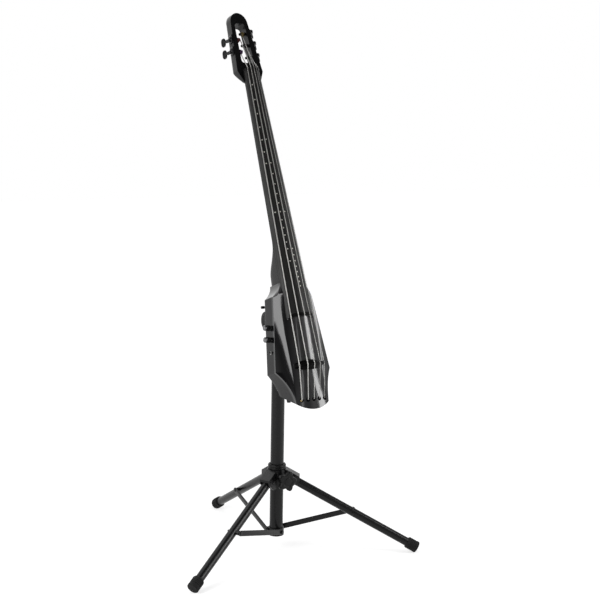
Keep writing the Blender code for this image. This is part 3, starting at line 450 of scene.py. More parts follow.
brightSteel = plainFinish("brightSteel", dict(
    colour=(0.17, 0.17, 0.175), worn=(0.30, 0.30, 0.31), rough=(0.14, 0.24), smudge=90.0,
    peel=1500.0, relief=0.03, metal=1.0,
))
blackMetal = plainFinish("blackMetal", dict(
    colour=(0.010, 0.010, 0.0105), worn=(0.09, 0.09, 0.09), rough=(0.22, 0.34), smudge=60.0,
    peel=1400.0, relief=0.08, metal=0.35, shine=0.4,
))
warmBrass = plainFinish("warmBrass", dict(
    colour=(0.36, 0.28, 0.14), worn=(0.50, 0.41, 0.24), rough=(0.22, 0.34), smudge=90.0,
    peel=1800.0, relief=0.08, metal=1.0,
))
bridgeBlack = plainFinish("bridgeBlack", dict(
    colour=(0.0016, 0.0016, 0.0016), worn=(0.006, 0.006, 0.006), rough=(0.30, 0.42), smudge=60.0,
    peel=1500.0, relief=0.05, shine=0.05,
))
# painted shade: a near-black matt finish for the strip that stands in for the shade at the board's end
endShadeBlack = plainFinish("endShadeBlack", dict(
    colour=(0.0022, 0.0022, 0.0022), worn=(0.006, 0.006, 0.006), rough=(0.60, 0.74), smudge=70.0,
    peel=1700.0, relief=0.20, shine=0.08,
))
dotShell = plainFinish("dotShell", dict(
    colour=(0.60, 0.58, 0.53), worn=(0.68, 0.67, 0.63), rough=(0.24, 0.38), smudge=400.0,
    peel=2500.0, relief=0.05,
))


# gloss on the front, satin on the walls and back: the mesh says which by its own attribute
def lacquerFinish():
    base = newFinish("lacquer", dict(
        colour=(0.0035, 0.0035, 0.004), worn=(0.010, 0.010, 0.0105), rough=(0.10, 0.15), smudge=9.0,
        peel=260.0, relief=0.012, coat=1.0, coatRough=0.13, shine=0.16,
    ))
    tree, shader = base["tree"], base["shader"]
    mark = addNode(tree, "Attribute", attribute_name="satin")
    satin = addGroup(tree, smudges, Scale=26.0, Low=0.20, High=0.28)
    pick = addNode(tree, "Mix")
    less = addNode(tree, "MapRange", {"To Min": 1.0, "To Max": 0.0})
    join(
        tree,
        (mark, "Fac", pick, "Factor"),
        (base["smudge"], "Value", pick, "A"),
        (satin, "Value", pick, "B"),
        (pick, "Result", shader, "Roughness"),
        (mark, "Fac", less, "Value"),
        (less, "Result", shader, "Coat Weight"),
    )
    return base["made"]


lacquer = lacquerFinish()


# dark hard wood: fine dashes drawn out along the board
def boardFinish(lean):
    base = newFinish("boardWood", dict(
        colour=(0.0045, 0.0044, 0.0042), worn=(0.012, 0.0117, 0.0112), rough=(0.38, 0.50), smudge=14.0,
        peel=1300.0, relief=0.12, shine=0.30,
    ))
    tree = base["tree"]
    spot = addNode(tree, "TexCoord")
    level = addNode(tree, "Mapping", {"Rotation": (lean, 0.0, 0.0), "Scale": (1100.0, 1100.0, 32.0)})
    streak = addNode(tree, "TexNoise", {"Scale": 1.0, "Detail": 3.0})
    tone = addNode(tree, "MapRange", {"From Min": 0.35, "From Max": 0.70})
    blend = addNode(tree, "Mix", {"B": (0.0105, 0.0099, 0.0092, 1.0)}, data_type="RGBA")
    join(
        tree,
        (spot, "Object", level, "Vector"),
        (level, "Vector", streak, "Vector"),
        (streak, "Fac", tone, "Value"),
        (tone, "Result", blend, "Factor"),
        (base["rub"], "Color", blend, "A"),
        (blend, "Result", base["shader"], "Base Color"),
        (streak, "Fac", base["bump"], "Height"),
    )
    return base["made"]


# wound steel: ridges ride on the distance along the string that the mesh carries, and where the mesh
# marks it the steel goes under a wrapping of coloured thread
def stringFinish():
    ridge = 0.0006
    base = newFinish("stringSteel", dict(
        colour=(0.40, 0.395, 0.38), worn=(0.48, 0.475, 0.46), rough=(0.30, 0.42), smudge=120.0,
        peel=2000.0, relief=0.35, deep=0.00008, metal=1.0,
    ))
    tree, shader = base["tree"], base["shader"]
    thread = addNode(tree, "Attribute", attribute_name="thread")
    cover = addNode(tree, "Mix", data_type="RGBA")
    bare = addNode(tree, "MapRange", {"To Min": 1.0, "To Max": 0.0})
    matt = addNode(tree, "Mix", {"B": 0.75})
    mark = addNode(tree, "Attribute", attribute_name="along")
    turns = addNode(tree, "Math", {1: math.tau / ridge}, operation="MULTIPLY")
    wave = addNode(tree, "Math", operation="SINE")
    join(
        tree,
        (thread, "Alpha", cover, "Factor"),
        (base["rub"], "Color", cover, "A"),
        (thread, "Color", cover, "B"),
        (cover, "Result", shader, "Base Color"),
        (thread, "Alpha", bare, "Value"),
        (bare, "Result", shader, "Metallic"),
        (thread, "Alpha", matt, "Factor"),
        (base["smudge"], "Value", matt, "A"),
        (matt, "Result", shader, "Roughness"),
        (mark, "Fac", turns, 0),
        (turns, 0, wave, 0),
        (wave, 0, base["bump"], "Height"),
    )
    return base["made"]


stringSteel = stringFinish()
print("finishes ready")

# the lines that the pieces share, in metres
standLine = dict(
    tiltHeight=0.821, hingeHeight=0.260, hingeReach=0.050, legAngle=math.radians(28.49), footReach=0.4985,
    footRadius=0.0205, footFlat=0.0015, headings=(210.0, 330.0, 90.0),
)
bassLine = dict(
    lean=math.radians(19.3), neckAngle=math.radians(6.85), depth=0.064, reach=0.0551, tiltRise=0.1913,
    bridgeRise=0.0155, bridgeHeight=0.0868,
)
stringSizes = dict(
    scale=1.060, nutPitch=0.0103, bridgePitch=0.0234, nutArch=0.033, bridgeArch=0.065,
    radii=(0.0018, 0.0016, 0.0012, 0.0009, 0.0007), wraps=3, wrapSpace=0.0006,
    wrapStart=(-0.0190, -0.0068, 0.0045, 0.0095, 0.0195), wrapWay=(1, -1, 1, 1, -1), threadRun=0.022,
    threadStep=0.0004, sunk=0.8, bend=0.002, overBridge=0.003, sides=16,
    threads=(
        (0.045, 0.012, 0.062), (0.085, 0.008, 0.010), (0.095, 0.066, 0.012), (0.020, 0.007, 0.006),
        (0.008, 0.036, 0.018),
    ),
)
boardSizes = dict(
    length=0.897, halfNut=0.0288, halfEnd=0.0505, thick=0.006, edge=0.0006, actionNut=0.0031, actionEnd=0.008,
)
seatGap = 0.0003  # air in a fixed fit
runGap = 0.0004  # air in a fit that moves

legLong = (standLine["footReach"] - standLine["hingeReach"]) / math.cos(standLine["legAngle"])
footCentre = standLine["footRadius"] * math.cos(standLine["legAngle"]) - standLine["footFlat"]
hingeTrue = legLong * math.sin(standLine["legAngle"]) + footCentre
standFrame = shift(0.0, -standLine["footReach"] / 4, hingeTrue - standLine["hingeHeight"])
levelFrame = standFrame @ shift(0.0, 0.0, standLine["tiltHeight"])
tiltFrame = levelFrame @ turn(-bassLine["lean"], "X")
bassFrame = tiltFrame @ shift(0.0, -bassLine["depth"] - bassLine["reach"], -bassLine["tiltRise"])
neckFrame = bassFrame @ shift(0.0, -bassLine["bridgeHeight"], bassLine["bridgeRise"])
neckFrame = neckFrame @ turn(-bassLine["neckAngle"], "X")
cosNeck = math.cos(bassLine["neckAngle"])
sinNeck = math.sin(bassLine["neckAngle"])
scaleLong = stringSizes["scale"]
boardEnd = scaleLong - boardSizes["length"]


# 0 at the nut, 1 at the end of the board
def boardShare(w):
    return (scaleLong - w) / boardSizes["length"]


# half the width of the board, straight from nut to end
def boardHalf(w):
    return mix(boardShare(w), boardSizes["halfNut"], boardSizes["halfEnd"])


# radius of the board's arc, straight from nut to bridge
def boardArch(w):
    return mix(1.0 - w / scaleLong, stringSizes["nutArch"], stringSizes["bridgeArch"])


# the playing face: an arc across, whose radius and depth under the strings grow towards the bridge
def boardTop(x, w):
    return -mix(boardShare(w), boardSizes["actionNut"], boardSizes["actionEnd"]) - sagitta(boardArch(w), x)


# the same arc, lower by the thickness
def boardUnder(x, w):
    return boardTop(x, w) - boardSizes["thick"]


# points across the board, evenly spaced along its arc
def boardStops(w, count):
    arch = boardArch(w)
    return arch * np.sin(np.arcsin(boardHalf(w) / arch) * np.linspace(-1.0, 1.0, count))


# from the body's height and depth to the neck's
def toNeck(s, d):
    up = s - bassLine["bridgeRise"]
    out = d - bassLine["bridgeHeight"]
    return up * cosNeck - out * sinNeck, up * sinNeck + out * cosNeck


# body
bodySizes = dict(
    joint=0.298, shoulder=0.254, shoulderHalf=0.0745, hipHalf=0.1035, tailHalf=0.0605, taper=0.140,
    taperPower=2.4, liftPower=2.5, neckCurve=2.0, crown=0.047, spineHalf=0.0565, spineEdge=0.031,
    spineSlip=0.006, spineFade=0.130, jointEdge=0.0115, tailEdge=0.036, land=0.0008, flankHollow=0.14,
    hollowFrom=0.04, backRound=0.003, tailEnd=0.1275, tailMark=0.026, tailArc=0.120, tailReach=0.119,
    boardLift=0.0015, rimRound=0.0014, rimShare=0.3, holePitch=0.0213, holeFall=0.102, holeRadius=0.0067,
    holeDeep=0.026, holeLean=math.radians(15.0), satinBelow=(0.0024, 0.0016), satinUpTo=(0.001, 0.004),
    rounds=60, stepRun=0.0003, weld=0.000004,
)
ringColumns = (27, 22, 7, 6, 6, 12)  # spine, flank, rim, wall, turn to the back, back
jointW = toNeck(bodySizes["joint"], 0.0)[0]
heelHalf = boardHalf(jointW)
boardStep = bassLine["bridgeRise"] + boardEnd * cosNeck + boardUnder(0.0, boardEnd) * sinNeck
boardStep -= boardSizes["thick"]


# the board's underside in front of the body's own plane, at the body's height s
def boardUnderRise(x, s):
    w = (s - bassLine["bridgeRise"]) / cosNeck
    reach = np.minimum(np.abs(x), boardHalf(w))
    return bassLine["bridgeHeight"] - w * sinNeck + boardUnder(reach, w) * cosNeck


# half the width: a power curve below the hip, a straight side, a hollow curve from the shoulder to the neck
def sideHalf(s):
    taper = ramp(s, -bodySizes["taper"], 0.0) ** bodySizes["taperPower"]
    low = mix(taper, bodySizes["tailHalf"], bodySizes["hipHalf"])
    middle = mix(s / bodySizes["shoulder"], bodySizes["hipHalf"], bodySizes["shoulderHalf"])
    left = (1.0 - ramp(s, bodySizes["shoulder"], bodySizes["joint"])) ** bodySizes["neckCurve"]
    high = mix(left, heelHalf, bodySizes["shoulderHalf"])
    return np.where(s >= bodySizes["shoulder"], high, np.where(s >= 0.0, middle, low))


# half the width of the spine and the height of its edge: the edge slips down the flank above the bridge,
# and both run out to the rim at the tail and to the heel at the joint
def spineSide(s):
    slip = bodySizes["spineSlip"] * ramp(s, 0.0, bodySizes["spineFade"])
    fade = ramp(s, bodySizes["spineFade"], bodySizes["joint"])
    edge = mix(fade, bodySizes["spineEdge"] - slip, bodySizes["jointEdge"])
    inner = heelHalf - bodySizes["land"]
    upper = ease(ramp(s, bodySizes["shoulder"], bodySizes["joint"]))
    half = mix(upper, bodySizes["spineHalf"] + slip, inner)
    low = ease(ramp(-s, 0.0, bodySizes["tailEnd"]))
    return mix(low, half, bodySizes["tailHalf"] - bodySizes["land"]), mix(low, edge, bodySizes["tailEdge"])


# the spine is a parabola across
def spineTop(x, s):
    half, edge = spineSide(s)
    return bodySizes["crown"] - (bodySizes["crown"] - edge) * (x / half) ** 2


# where the fingerboard covers the spine it dips under it, with a step along the board's edge
def boardCover(s):
    w = (np.maximum(s, boardStep) - bassLine["bridgeRise"]) / cosNeck
    return np.minimum(boardHalf(w) + seatGap, spineSide(s)[0] - bodySizes["land"])


# the spine's columns: from the ridge to the board's edge, then a few outside it
def spineColumns(s, outside=4):
    low, high = s[:, :-outside], s[:, -outside:]
    inner = boardCover(low) * np.linspace(0.0, 1.0, low.shape[1])
    outer = mix(np.linspace(0.0, 1.0, outside), boardCover(high), spineSide(high)[0])
    under = boardUnderRise(inner, np.maximum(low, boardStep)) - bodySizes["boardLift"]
    top = spineTop(inner, low)
    top = np.where(low < boardStep, top, np.minimum(top, under))
    return np.concatenate([inner, outer], axis=1), np.concatenate([top, spineTop(outer, high)], axis=1)


# the rim climbs to the spine's edge towards the tail
def rimRise(s, edge):
    return edge * (1.0 - (1.0 - ramp(-s, 0.0, bodySizes["tailEnd"])) ** bodySizes["liftPower"])


# half a ring of the body at height s, from the ridge over the spine, down the hollow flank, round the rim,
# along the wall and round to the middle of the back; every column may have its own height
def bodyHalf(s):
    spineS, flankS, rimS, wallS, turnS, backS = np.split(s, np.cumsum(ringColumns)[:-1], axis=1)
    columns = [spineColumns(spineS)]

    def flankEnds(s):
        half, edge = spineSide(s)
        rim = sideHalf(s)
        rise = rimRise(s, edge)
        fade = ease(ramp(s, bodySizes["hollowFrom"], bodySizes["shoulder"]))
        pull = 0.5 - bodySizes["flankHollow"] * (1.0 - fade)
        return half, edge, rim, rise, mix(pull, half, rim), mix(pull, rise, edge)

    def rimReach(rim, rise, pullX, pullD):
        long = 2 * np.hypot(rim - pullX, rise - pullD)
        return long, np.minimum(bodySizes["rimRound"], bodySizes["rimShare"] * long)

    half, edge, rim, rise, pullX, pullD = flankEnds(flankS)
    long, reach = rimReach(rim, rise, pullX, pullD)
    t = shares(ringColumns[1]) * (1.0 - reach / long)
    a, b, c = (1 - t) ** 2, 2 * t * (1 - t), t * t
    columns.append((a * half + b * pullX + c * rim, a * edge + b * pullD + c * rise))
    half, edge, rim, rise, pullX, pullD = flankEnds(rimS)
    long, reach = rimReach(rim, rise, pullX, pullD)
    fx, fd = 2 * (rim - pullX) / long * reach, 2 * (rise - pullD) / long * reach
    t = shares(ringColumns[2])
    columns.append((rim - fx * (1 - t) ** 2, rise - fd * (1 - t) ** 2 - reach * t * t))
    half, edge, rim, rise, pullX, pullD = flankEnds(wallS)
    reach = rimReach(rim, rise, pullX, pullD)[1]
    low = -bassLine["depth"] + bodySizes["backRound"]
    t = shares(ringColumns[3])
    columns.append((rim + 0.0 * t, mix(t, rise - reach, low)))
    a = np.linspace(0.0, math.pi / 2, ringColumns[4] + 1)[1:]
    x = sideHalf(turnS) - bodySizes["backRound"] * (1 - np.cos(a))
    columns.append((x, 0.0 * x - bassLine["depth"] + bodySizes["backRound"] * (1 - np.sin(a))))
    x = (sideHalf(backS) - bodySizes["backRound"]) * (1.0 - shares(ringColumns[5]))
    columns.append((x, 0.0 * x - bassLine["depth"]))
    return np.concatenate([c[0] for c in columns], axis=1), np.concatenate([c[1] for c in columns], axis=1)


# the bottom face is level when the instrument leans and bows across: height where it cuts the point x, d
def tailCut(x, d):
    lean = bassLine["lean"]
    bow = sagitta(bodySizes["tailArc"], np.clip(x, -bodySizes["tailReach"], bodySizes["tailReach"]))
    return -bodySizes["tailEnd"] + (bow - math.sin(lean) * (d - bodySizes["tailMark"])) / math.cos(lean)


# rows of half rings from the joint to the tail; the last row is found by going back and forth between
# the ring and the cut, and the bottom face is a grid across it
def bodyMesh():
    width, back = sum(ringColumns), ringColumns[-1]
    tail = np.full((1, width), -bodySizes["tailEnd"])
    for _ in range(bodySizes["rounds"]):
        x, d = bodyHalf(tail)
        tail = np.maximum(tailCut(x, d), -bodySizes["taper"])
    step = bodySizes["stepRun"]
    high = np.linspace(bodySizes["joint"], bodySizes["shoulder"], 26)
    middle = np.linspace(bodySizes["shoulder"], boardStep + step, 16)[1:]
    low = np.linspace(boardStep - step, 0.0, 40)
    level = np.concatenate([high, middle, low])[:, None] + np.zeros((1, width))
    fall = shares(40)[:, None]
    level = np.concatenate([level, fall * tail])
    x, d = bodyHalf(level)
    right = spots(x, -d, level)
    left = right[:, -2:0:-1] * np.array([-1.0, 1.0, 1.0])
    wall = sheet(np.concatenate([right, left], axis=1), caps=(True, False))
    endX, endD = x[-1, :-back], d[-1, :-back]
    across = np.concatenate([[1.0], 1.0 - np.arange(1, back + 1) / back])
    across = np.concatenate([across, -across[-2::-1]])
    floorX = endX[:, None] * across[None]
    floorD = endD[:, None]
    floorS = np.maximum(tailCut(floorX, floorD), -bodySizes["taper"])
    bottom = sheet(spots(floorX, -floorD, floorS), closeColumns=False, caps=(False, False))
    return makeMesh("bodyShell", [wall, bottom], merge=bodySizes["weld"])


# where a string's hole opens on the spine, and its way inwards
def tailHole(k):
    x = (k - 2) * bodySizes["holePitch"]
    fall = -bodySizes["holeFall"]
    mouth = Vector((x, -float(spineTop(np.float64(x), np.float64(fall))), fall))
    lean = bodySizes["holeLean"]
    return mouth, Vector((0.0, math.cos(lean), -math.sin(lean)))


panelSizes = dict(
    rise=0.112, back=0.025, wall=0.010, hollowHalf=0.062, hollowDeep=0.036, ledge=0.004, cover=0.0025,
    volume=0.041, tone=0.001, switch=-0.043,
)
panelSlope = math.atan((bodySizes["hipHalf"] - bodySizes["shoulderHalf"]) / bodySizes["shoulder"])
panelX = -float(sideHalf(np.float64(panelSizes["rise"])))
panelFrame = bassFrame @ shift(panelX, panelSizes["back"], panelSizes["rise"])
panelFrame = panelFrame @ turn(panelSlope - math.pi / 2, "Y")
tailFrame = bassFrame @ shift(0.0, -bodySizes["tailMark"], -bodySizes["tailEnd"])
tailFrame = tailFrame @ turn(bassLine["lean"], "X")
jackSizes = dict(
    side=0.048, behind=0.074, flange=0.0095, sink=0.009, barrel=0.006, bore=0.0034, nose=0.0075,
    noseLong=0.011, lip=0.0008,
)
jackBow = float(sagitta(bodySizes["tailArc"], jackSizes["side"]))
jackFrame = tailFrame @ shift(-jackSizes["side"], jackSizes["behind"], jackBow)


# what is taken out of the body: string holes, the recess of the control cover, the seat of the jack
def bodyTools():
    tools = []
    toBass = bassFrame.inverted()
    for k in range(5):
        mouth, inward = tailHole(k)
        place = Matrix.Translation(mouth) @ (-inward).to_track_quat("Z", "X").to_matrix().to_4x4()
        deep = bodySizes["holeDeep"]
        radius = bodySizes["holeRadius"]
        tools.append(placed(turned([(radius, -deep), (radius, deep / 2)], 40), place))
    backY = bassLine["depth"] - panelSizes["back"]
    long = panelSizes["hollowHalf"] + panelSizes["ledge"]
    low = -panelSizes["wall"] - panelSizes["hollowDeep"] - panelSizes["ledge"]
    ledge = softLine(rectangle(-long, long, low, -panelSizes["wall"] + panelSizes["ledge"]), 0.008, 6, True)
    recess = lain(slab(ledge, backY - panelSizes["cover"] - seatGap, backY + 0.01, toolEdge))
    tools.append(placed(recess, toBass @ panelFrame))
    seat = jackSizes["flange"] + seatGap
    seat = turned([(seat, -jackSizes["sink"]), (seat, jackSizes["sink"])])
    tools.append(placed(seat, toBass @ jackFrame))
    return tools


# the carved shell; each point is marked gloss or satin by its height and depth
def buildBody():
    mesh = carve(bodyMesh(), bodyTools())
    points = np.empty(len(mesh.vertices) * 3)
    mesh.vertices.foreach_get("co", points)
    s, d = points[2::3], -points[1::3]
    rim = rimRise(s, spineSide(s)[1])
    low, high = bodySizes["satinBelow"]
    satin = 1.0 - ramp(d, rim - low, rim - high)
    low, high = bodySizes["satinUpTo"]
    satin = satin * (1.0 - ramp(s, bodySizes["shoulder"] + low, bodySizes["shoulder"] + high))
    mark = mesh.attributes.new("satin", "FLOAT", "POINT")
    mark.data.foreach_set("value", satin)
    mesh.transform(bassFrame)
    piece("bodyShell", mesh, lacquer, "bass", ("body",))


buildBody()
print("body shell ready")

# neck and head
neckSizes = dict(
    depthNut=0.039, depthHeel=0.045, heelRun=0.024, heelFade=0.135, nutLong=0.006, headFoot=0.043,
    corner=0.004, cornerHalf=0.0495, crown=0.195, crownHalf=0.033, crownRise=0.042, rakeBack=0.22,
    front=0.031, backAngle=0.045, thick=0.044, slotLow=0.037, slotHigh=0.195, slotHalfLow=0.024,
    slotHalfHigh=0.019, slotRound=0.013, lip=0.002, lipSide=0.004, lipLeast=0.001, faceShare=0.62,
    wingEnd=0.7, roundPower=2.0, heelPower=4.0, headPower=6.0, faceStep=0.002, crownEnd=0.9995, soft=0.0009,
    softAngle=math.radians(50.0),
)


# the front of the head is a plane that leans back from the nut
def headFace(w):
    return -neckSizes["front"] - neckSizes["backAngle"] * (w - scaleLong)


# half the width of the head: a wing up to the corner, a straight side, an elliptic crown
def headHalf(w):
    rise = np.asarray(w - scaleLong, float)
    over = ramp(rise, neckSizes["crown"], neckSizes["crown"] + neckSizes["crownRise"])
    arch = neckSizes["crownHalf"] * np.sqrt(1.0 - over ** 2)
    climb = ramp(rise, neckSizes["corner"], neckSizes["crown"])
    up = mix(climb, neckSizes["cornerHalf"], neckSizes["crownHalf"])
    foot = boardHalf(scaleLong - neckSizes["headFoot"])
    wing = mix(ramp(rise, -neckSizes["headFoot"], neckSizes["corner"]), foot, neckSizes["cornerHalf"])
    return np.where(rise > neckSizes["crown"], arch, np.where(rise > neckSizes["corner"], up, wing))


# the back of the neck: the body's back plane at the heel, the grip, the back of the head
def neckBack(w):
    grip = boardTop(0.0, w) - mix(boardShare(w), neckSizes["depthNut"], neckSizes["depthHeel"])
    start = jointW + neckSizes["heelRun"]
    fade = ease(ramp(w, start, start + neckSizes["heelFade"]))
    flare = ease(ramp(w - scaleLong, -neckSizes["headFoot"], neckSizes["corner"]))
    plane = (-bassLine["depth"] - bassLine["bridgeHeight"] + w * sinNeck) / cosNeck
    return mix(flare, mix(fade, plane, grip), headFace(w) - neckSizes["thick"])


# rings of the neck: the board's own arc on top, a narrow step, then a rounded-square back whose power
# grows at the heel and the head
def neckRings(w, underBoard):
    w = w[:, None]
    start = jointW + neckSizes["heelRun"]
    wing = ramp(w - scaleLong, -neckSizes["headFoot"], -neckSizes["headFoot"] * neckSizes["wingEnd"])
    heel = 1.0 - ease(ramp(w, start, start + neckSizes["heelFade"]))
    face = headFace(w)
    if underBoard:
        half = boardHalf(w)
        outer = np.where(wing > 0.0, np.maximum(headHalf(w), half + seatGap), half)
        topX = boardStops(w, 25)
        topH = boardUnder(topX, w) - seatGap
        edge = topH[:, -1:]
        least = np.minimum(face, edge - neckSizes["lipLeast"])
        step = mix(wing, edge - neckSizes["lip"], least)
        side = mix(wing, edge - neckSizes["lipSide"], least)
    else:
        outer = headHalf(w)
        half = outer * neckSizes["faceShare"]
        topX = half * np.linspace(-1.0, 1.0, 25)
        topH = face + 0.0 * topX
        step = side = face
    power = np.maximum(neckSizes["heelPower"] * heel, neckSizes["headPower"] * ease(wing))
    power = neckSizes["roundPower"] + power
    a = math.pi * np.arange(1, 40)[None] / 40
    backX = outer * np.sign(np.cos(a)) * np.abs(np.cos(a)) ** (2 / power)
    backH = side + (neckBack(w) - side) * np.sin(a) ** (2 / power)
    x = np.concatenate([topX, half, outer, backX, -outer, -half], axis=1)
    h = np.concatenate([topH, step, side, backH, side, step], axis=1)
    lean = (1.0 - ramp(w, start, start + neckSizes["heelFade"])) * math.tan(bassLine["neckAngle"])
    rake = neckSizes["rakeBack"] * ease(ramp(w - scaleLong, -neckSizes["headFoot"], neckSizes["corner"]))
    return spots(x, -h, w - h * lean + rake * np.maximum(face - h, 0.0))


tunerSizes = dict(
    side=(-1, -1, 1, 1, 1), rise=(0.091, 0.137, 0.161, 0.116, 0.069), drop=0.052, post=0.005,
    tip=(0.005, 0.005, -0.003, -0.004, 0.003), wall=0.0012, deep=0.013, bore=(-0.026, 0.013),
    plate=(0.034, 0.024, 0.0025), dome=0.010, domeHigh=0.009, wormSide=0.008, wormHigh=0.0125, worm=0.006,
    wormBack=0.007, wormFront=0.0085, lean=math.radians(30.0), shaft=0.003, key=(0.034, 0.019, 0.0065),
    keyPower=2.7, keyRound=0.7, keyDish=0.30, dishReach=0.5, keyStem=0.002,
    screws=((0.0128, 0.0078), (0.0128, -0.0078), (-0.0128, 0.0092), (-0.0128, -0.0092)),
)


# a machine sits on the side of the head, its post pointing inwards
def machineFrame(k):
    w = scaleLong + tunerSizes["rise"][k]
    narrows = neckSizes["cornerHalf"] - neckSizes["crownHalf"]
    slope = math.atan(narrows / (neckSizes["crown"] - neckSizes["corner"]))
    side = tunerSizes["side"][k]
    out = Vector((side * math.cos(slope), 0.0, math.sin(slope)))
    back = Vector((0.0, 1.0, 0.0))
    axes = Matrix((back.cross(out), back, out)).transposed().to_4x4()
    return shift(side * float(headHalf(w)), tunerSizes["drop"], w) @ axes


# rings from the heel to the crown in one sheet, less the slot and five bores
def buildNeck():
    start = jointW + neckSizes["heelRun"]
    foot = (bodySizes["joint"] + seatGap - bassLine["bridgeRise"]) / cosNeck
    wide = scaleLong - neckSizes["headFoot"]
    end = scaleLong + neckSizes["nutLong"] + seatGap
    low = np.concatenate([
        [foot], np.linspace(start, start + neckSizes["heelFade"], 26),
        np.linspace(start + neckSizes["heelFade"], wide, 26)[1:], np.linspace(wide, end, 24)[1:],
    ])
    crown = scaleLong + neckSizes["crown"]
    arc = np.sin(np.linspace(0.0, math.pi / 2, 30))[1:-1]
    high = np.concatenate([
        [end + neckSizes["faceStep"]], np.linspace(scaleLong + neckSizes["slotLow"], crown, 20),
        crown + neckSizes["crownRise"] * np.append(arc, neckSizes["crownEnd"]),
    ])
    rings = np.concatenate([neckRings(low, True), neckRings(high, False)])
    lowHalf, highHalf = neckSizes["slotHalfLow"], neckSizes["slotHalfHigh"]
    slot = [(-lowHalf, neckSizes["slotLow"]), (lowHalf, neckSizes["slotLow"])]
    slot += [(highHalf, neckSizes["slotHigh"]), (-highHalf, neckSizes["slotHigh"])]
    slot = softLine(slot, neckSizes["slotRound"], 10, True) + np.array([0.0, scaleLong])
    through = 3 * neckSizes["thick"] + neckSizes["front"]
    tools = [lain(slab(slot, 0.0, through, toolEdge))]
    mesh = carve(makeMesh("neckWood", [sheet(rings)]), tools)
    radius = tunerSizes["post"] + runGap + tunerSizes["wall"] + seatGap
    bore = turned([(radius, deep) for deep in tunerSizes["bore"]], 40)
    mesh = carve(mesh, [placed(bore, machineFrame(k)) for k in range(5)])
    mesh.transform(neckFrame)
    made = piece("neckWood", mesh, satinNeck, "bass", ("neck",))
    soften(made, neckSizes["soft"], 2, neckSizes["softAngle"])


buildNeck()
print("neck ready")


# the board is one ring per step: the arc above, the same arc below, both edges eased
def buildBoard():
    w = np.linspace(boardEnd, scaleLong, 90)[:, None]
    top = boardStops(w, 31)
    under = boardStops(w, 31)[:, ::-1]
    edge = boardSizes["edge"]
    upper = boardTop(top, w)
    lower = boardUnder(under, w)
    left = lower[:, -1:] + boardSizes["thick"]
    x = np.concatenate([top, top[:, -1:], under, under[:, -1:]], axis=1)
    h = np.concatenate([upper, upper[:, -1:] - edge, lower, left - edge], axis=1)
    board = sheet(spots(x, -h, w))
    finish = boardFinish(bassLine["lean"] + bassLine["neckAngle"])
    newPiece("fingerboardWood", [board], neckFrame, finish, "bass", ("fingerboard",))


buildBoard()

# inlaid dots at every semitone of the open strings, on the lines between neighbouring strings
dotSizes = dict(radius=0.0021, proud=0.00012, deep=0.0006)


# which gaps between strings carry a dot at semitone n
def dotLines(n):
    if n == 12:
        return (-1.5, -0.5, 0.5)
    if n in (5, 7):
        return (-1.5, -0.5)
    if n in (17, 19):
        return (-0.5, 0.5)
    if n < 8:
        return (-1.5,)
    return (-0.5,) if n < 17 else (0.5,)


# a dot follows the board: rings about its middle on the playing face, its rim turned down into the wood
def buildDots():
    parts = []
    angle = np.linspace(0.0, math.tau, 28, endpoint=False)[None]
    ring = np.array([0.08, 0.4, 0.7, 0.93, 1.0, 1.0])[:, None] * dotSizes["radius"]
    rise = np.array([1.0, 1.0, 1.0, 1.0, 0.4, -5.0])[:, None] * dotSizes["proud"]
    for n in range(1, 25):
        w = scaleLong * 2 ** (-n / 12)
        pitch = mix(w / scaleLong, stringSizes["bridgePitch"], stringSizes["nutPitch"])
        for line in dotLines(n):
            x = line * pitch + ring * np.cos(angle)
            along = w + ring * np.sin(angle)
            parts.append(sheet(spots(x, -(boardTop(x, along) + rise), along)))
    newPiece("positionDots", parts, neckFrame, dotShell, "bass")


buildDots()
print("fingerboard and dots ready")


# a string leaves its hole, bends over the bridge and the nut, and winds round its post
def stringPath(k):
    radius = stringSizes["radii"][k]
    mouth, inward = tailHole(k)
    xBridge = (k - 2) * stringSizes["bridgePitch"]
    xNut = (k - 2) * stringSizes["nutPitch"]
    nutTop = scaleLong + neckSizes["nutLong"] + runGap
    nutPoint = Vector((xNut, sagitta(stringSizes["nutArch"], xNut), nutTop))
    line = [bassFrame @ (mouth + inward * (bodySizes["holeDeep"] * stringSizes["sunk"]))]
    line.append(bassFrame @ (mouth - inward * (radius + 2 * runGap)))
    fall = sagitta(stringSizes["bridgeArch"], xBridge)
    line.append(neckFrame @ Vector((xBridge, fall, -stringSizes["overBridge"])))
    line.append(neckFrame @ nutPoint)
    machine = machineFrame(k)
    start = machine.inverted() @ nutPoint
    reach = tunerSizes["post"] + runGap + radius
    bearing = math.atan2(start.y, start.x)
    opening = math.acos(reach / math.hypot(start.x, start.y))
    sign = 1.0 if math.sin(bearing + opening) < math.sin(bearing - opening) else -1.0
    first = Vector((stringSizes["wrapStart"][k], tunerSizes["drop"], machine.translation.z))
    first = machine.inverted() @ first
    pitch = (2 * radius + stringSizes["wrapSpace"]) * stringSizes["wrapWay"][k] * tunerSizes["side"][k]
    share = np.linspace(0.0, stringSizes["wraps"], stringSizes["wraps"] * 48 + 1)
    a = bearing + sign * opening + sign * math.tau * share
    loops = carry(around(reach, a, first.z + pitch * share), neckFrame @ machine)
    run = softLine([tuple(point) for point in line] + [tuple(loops[0])], stringSizes["bend"], 5)
    back = unit(run[-2] - loops[0])
    edge = [loops[0] + back * (stringSizes["threadRun"] + step) for step in (stringSizes["threadStep"], 0.0)]
    return np.concatenate([run[:-1], edge, loops]), len(run)


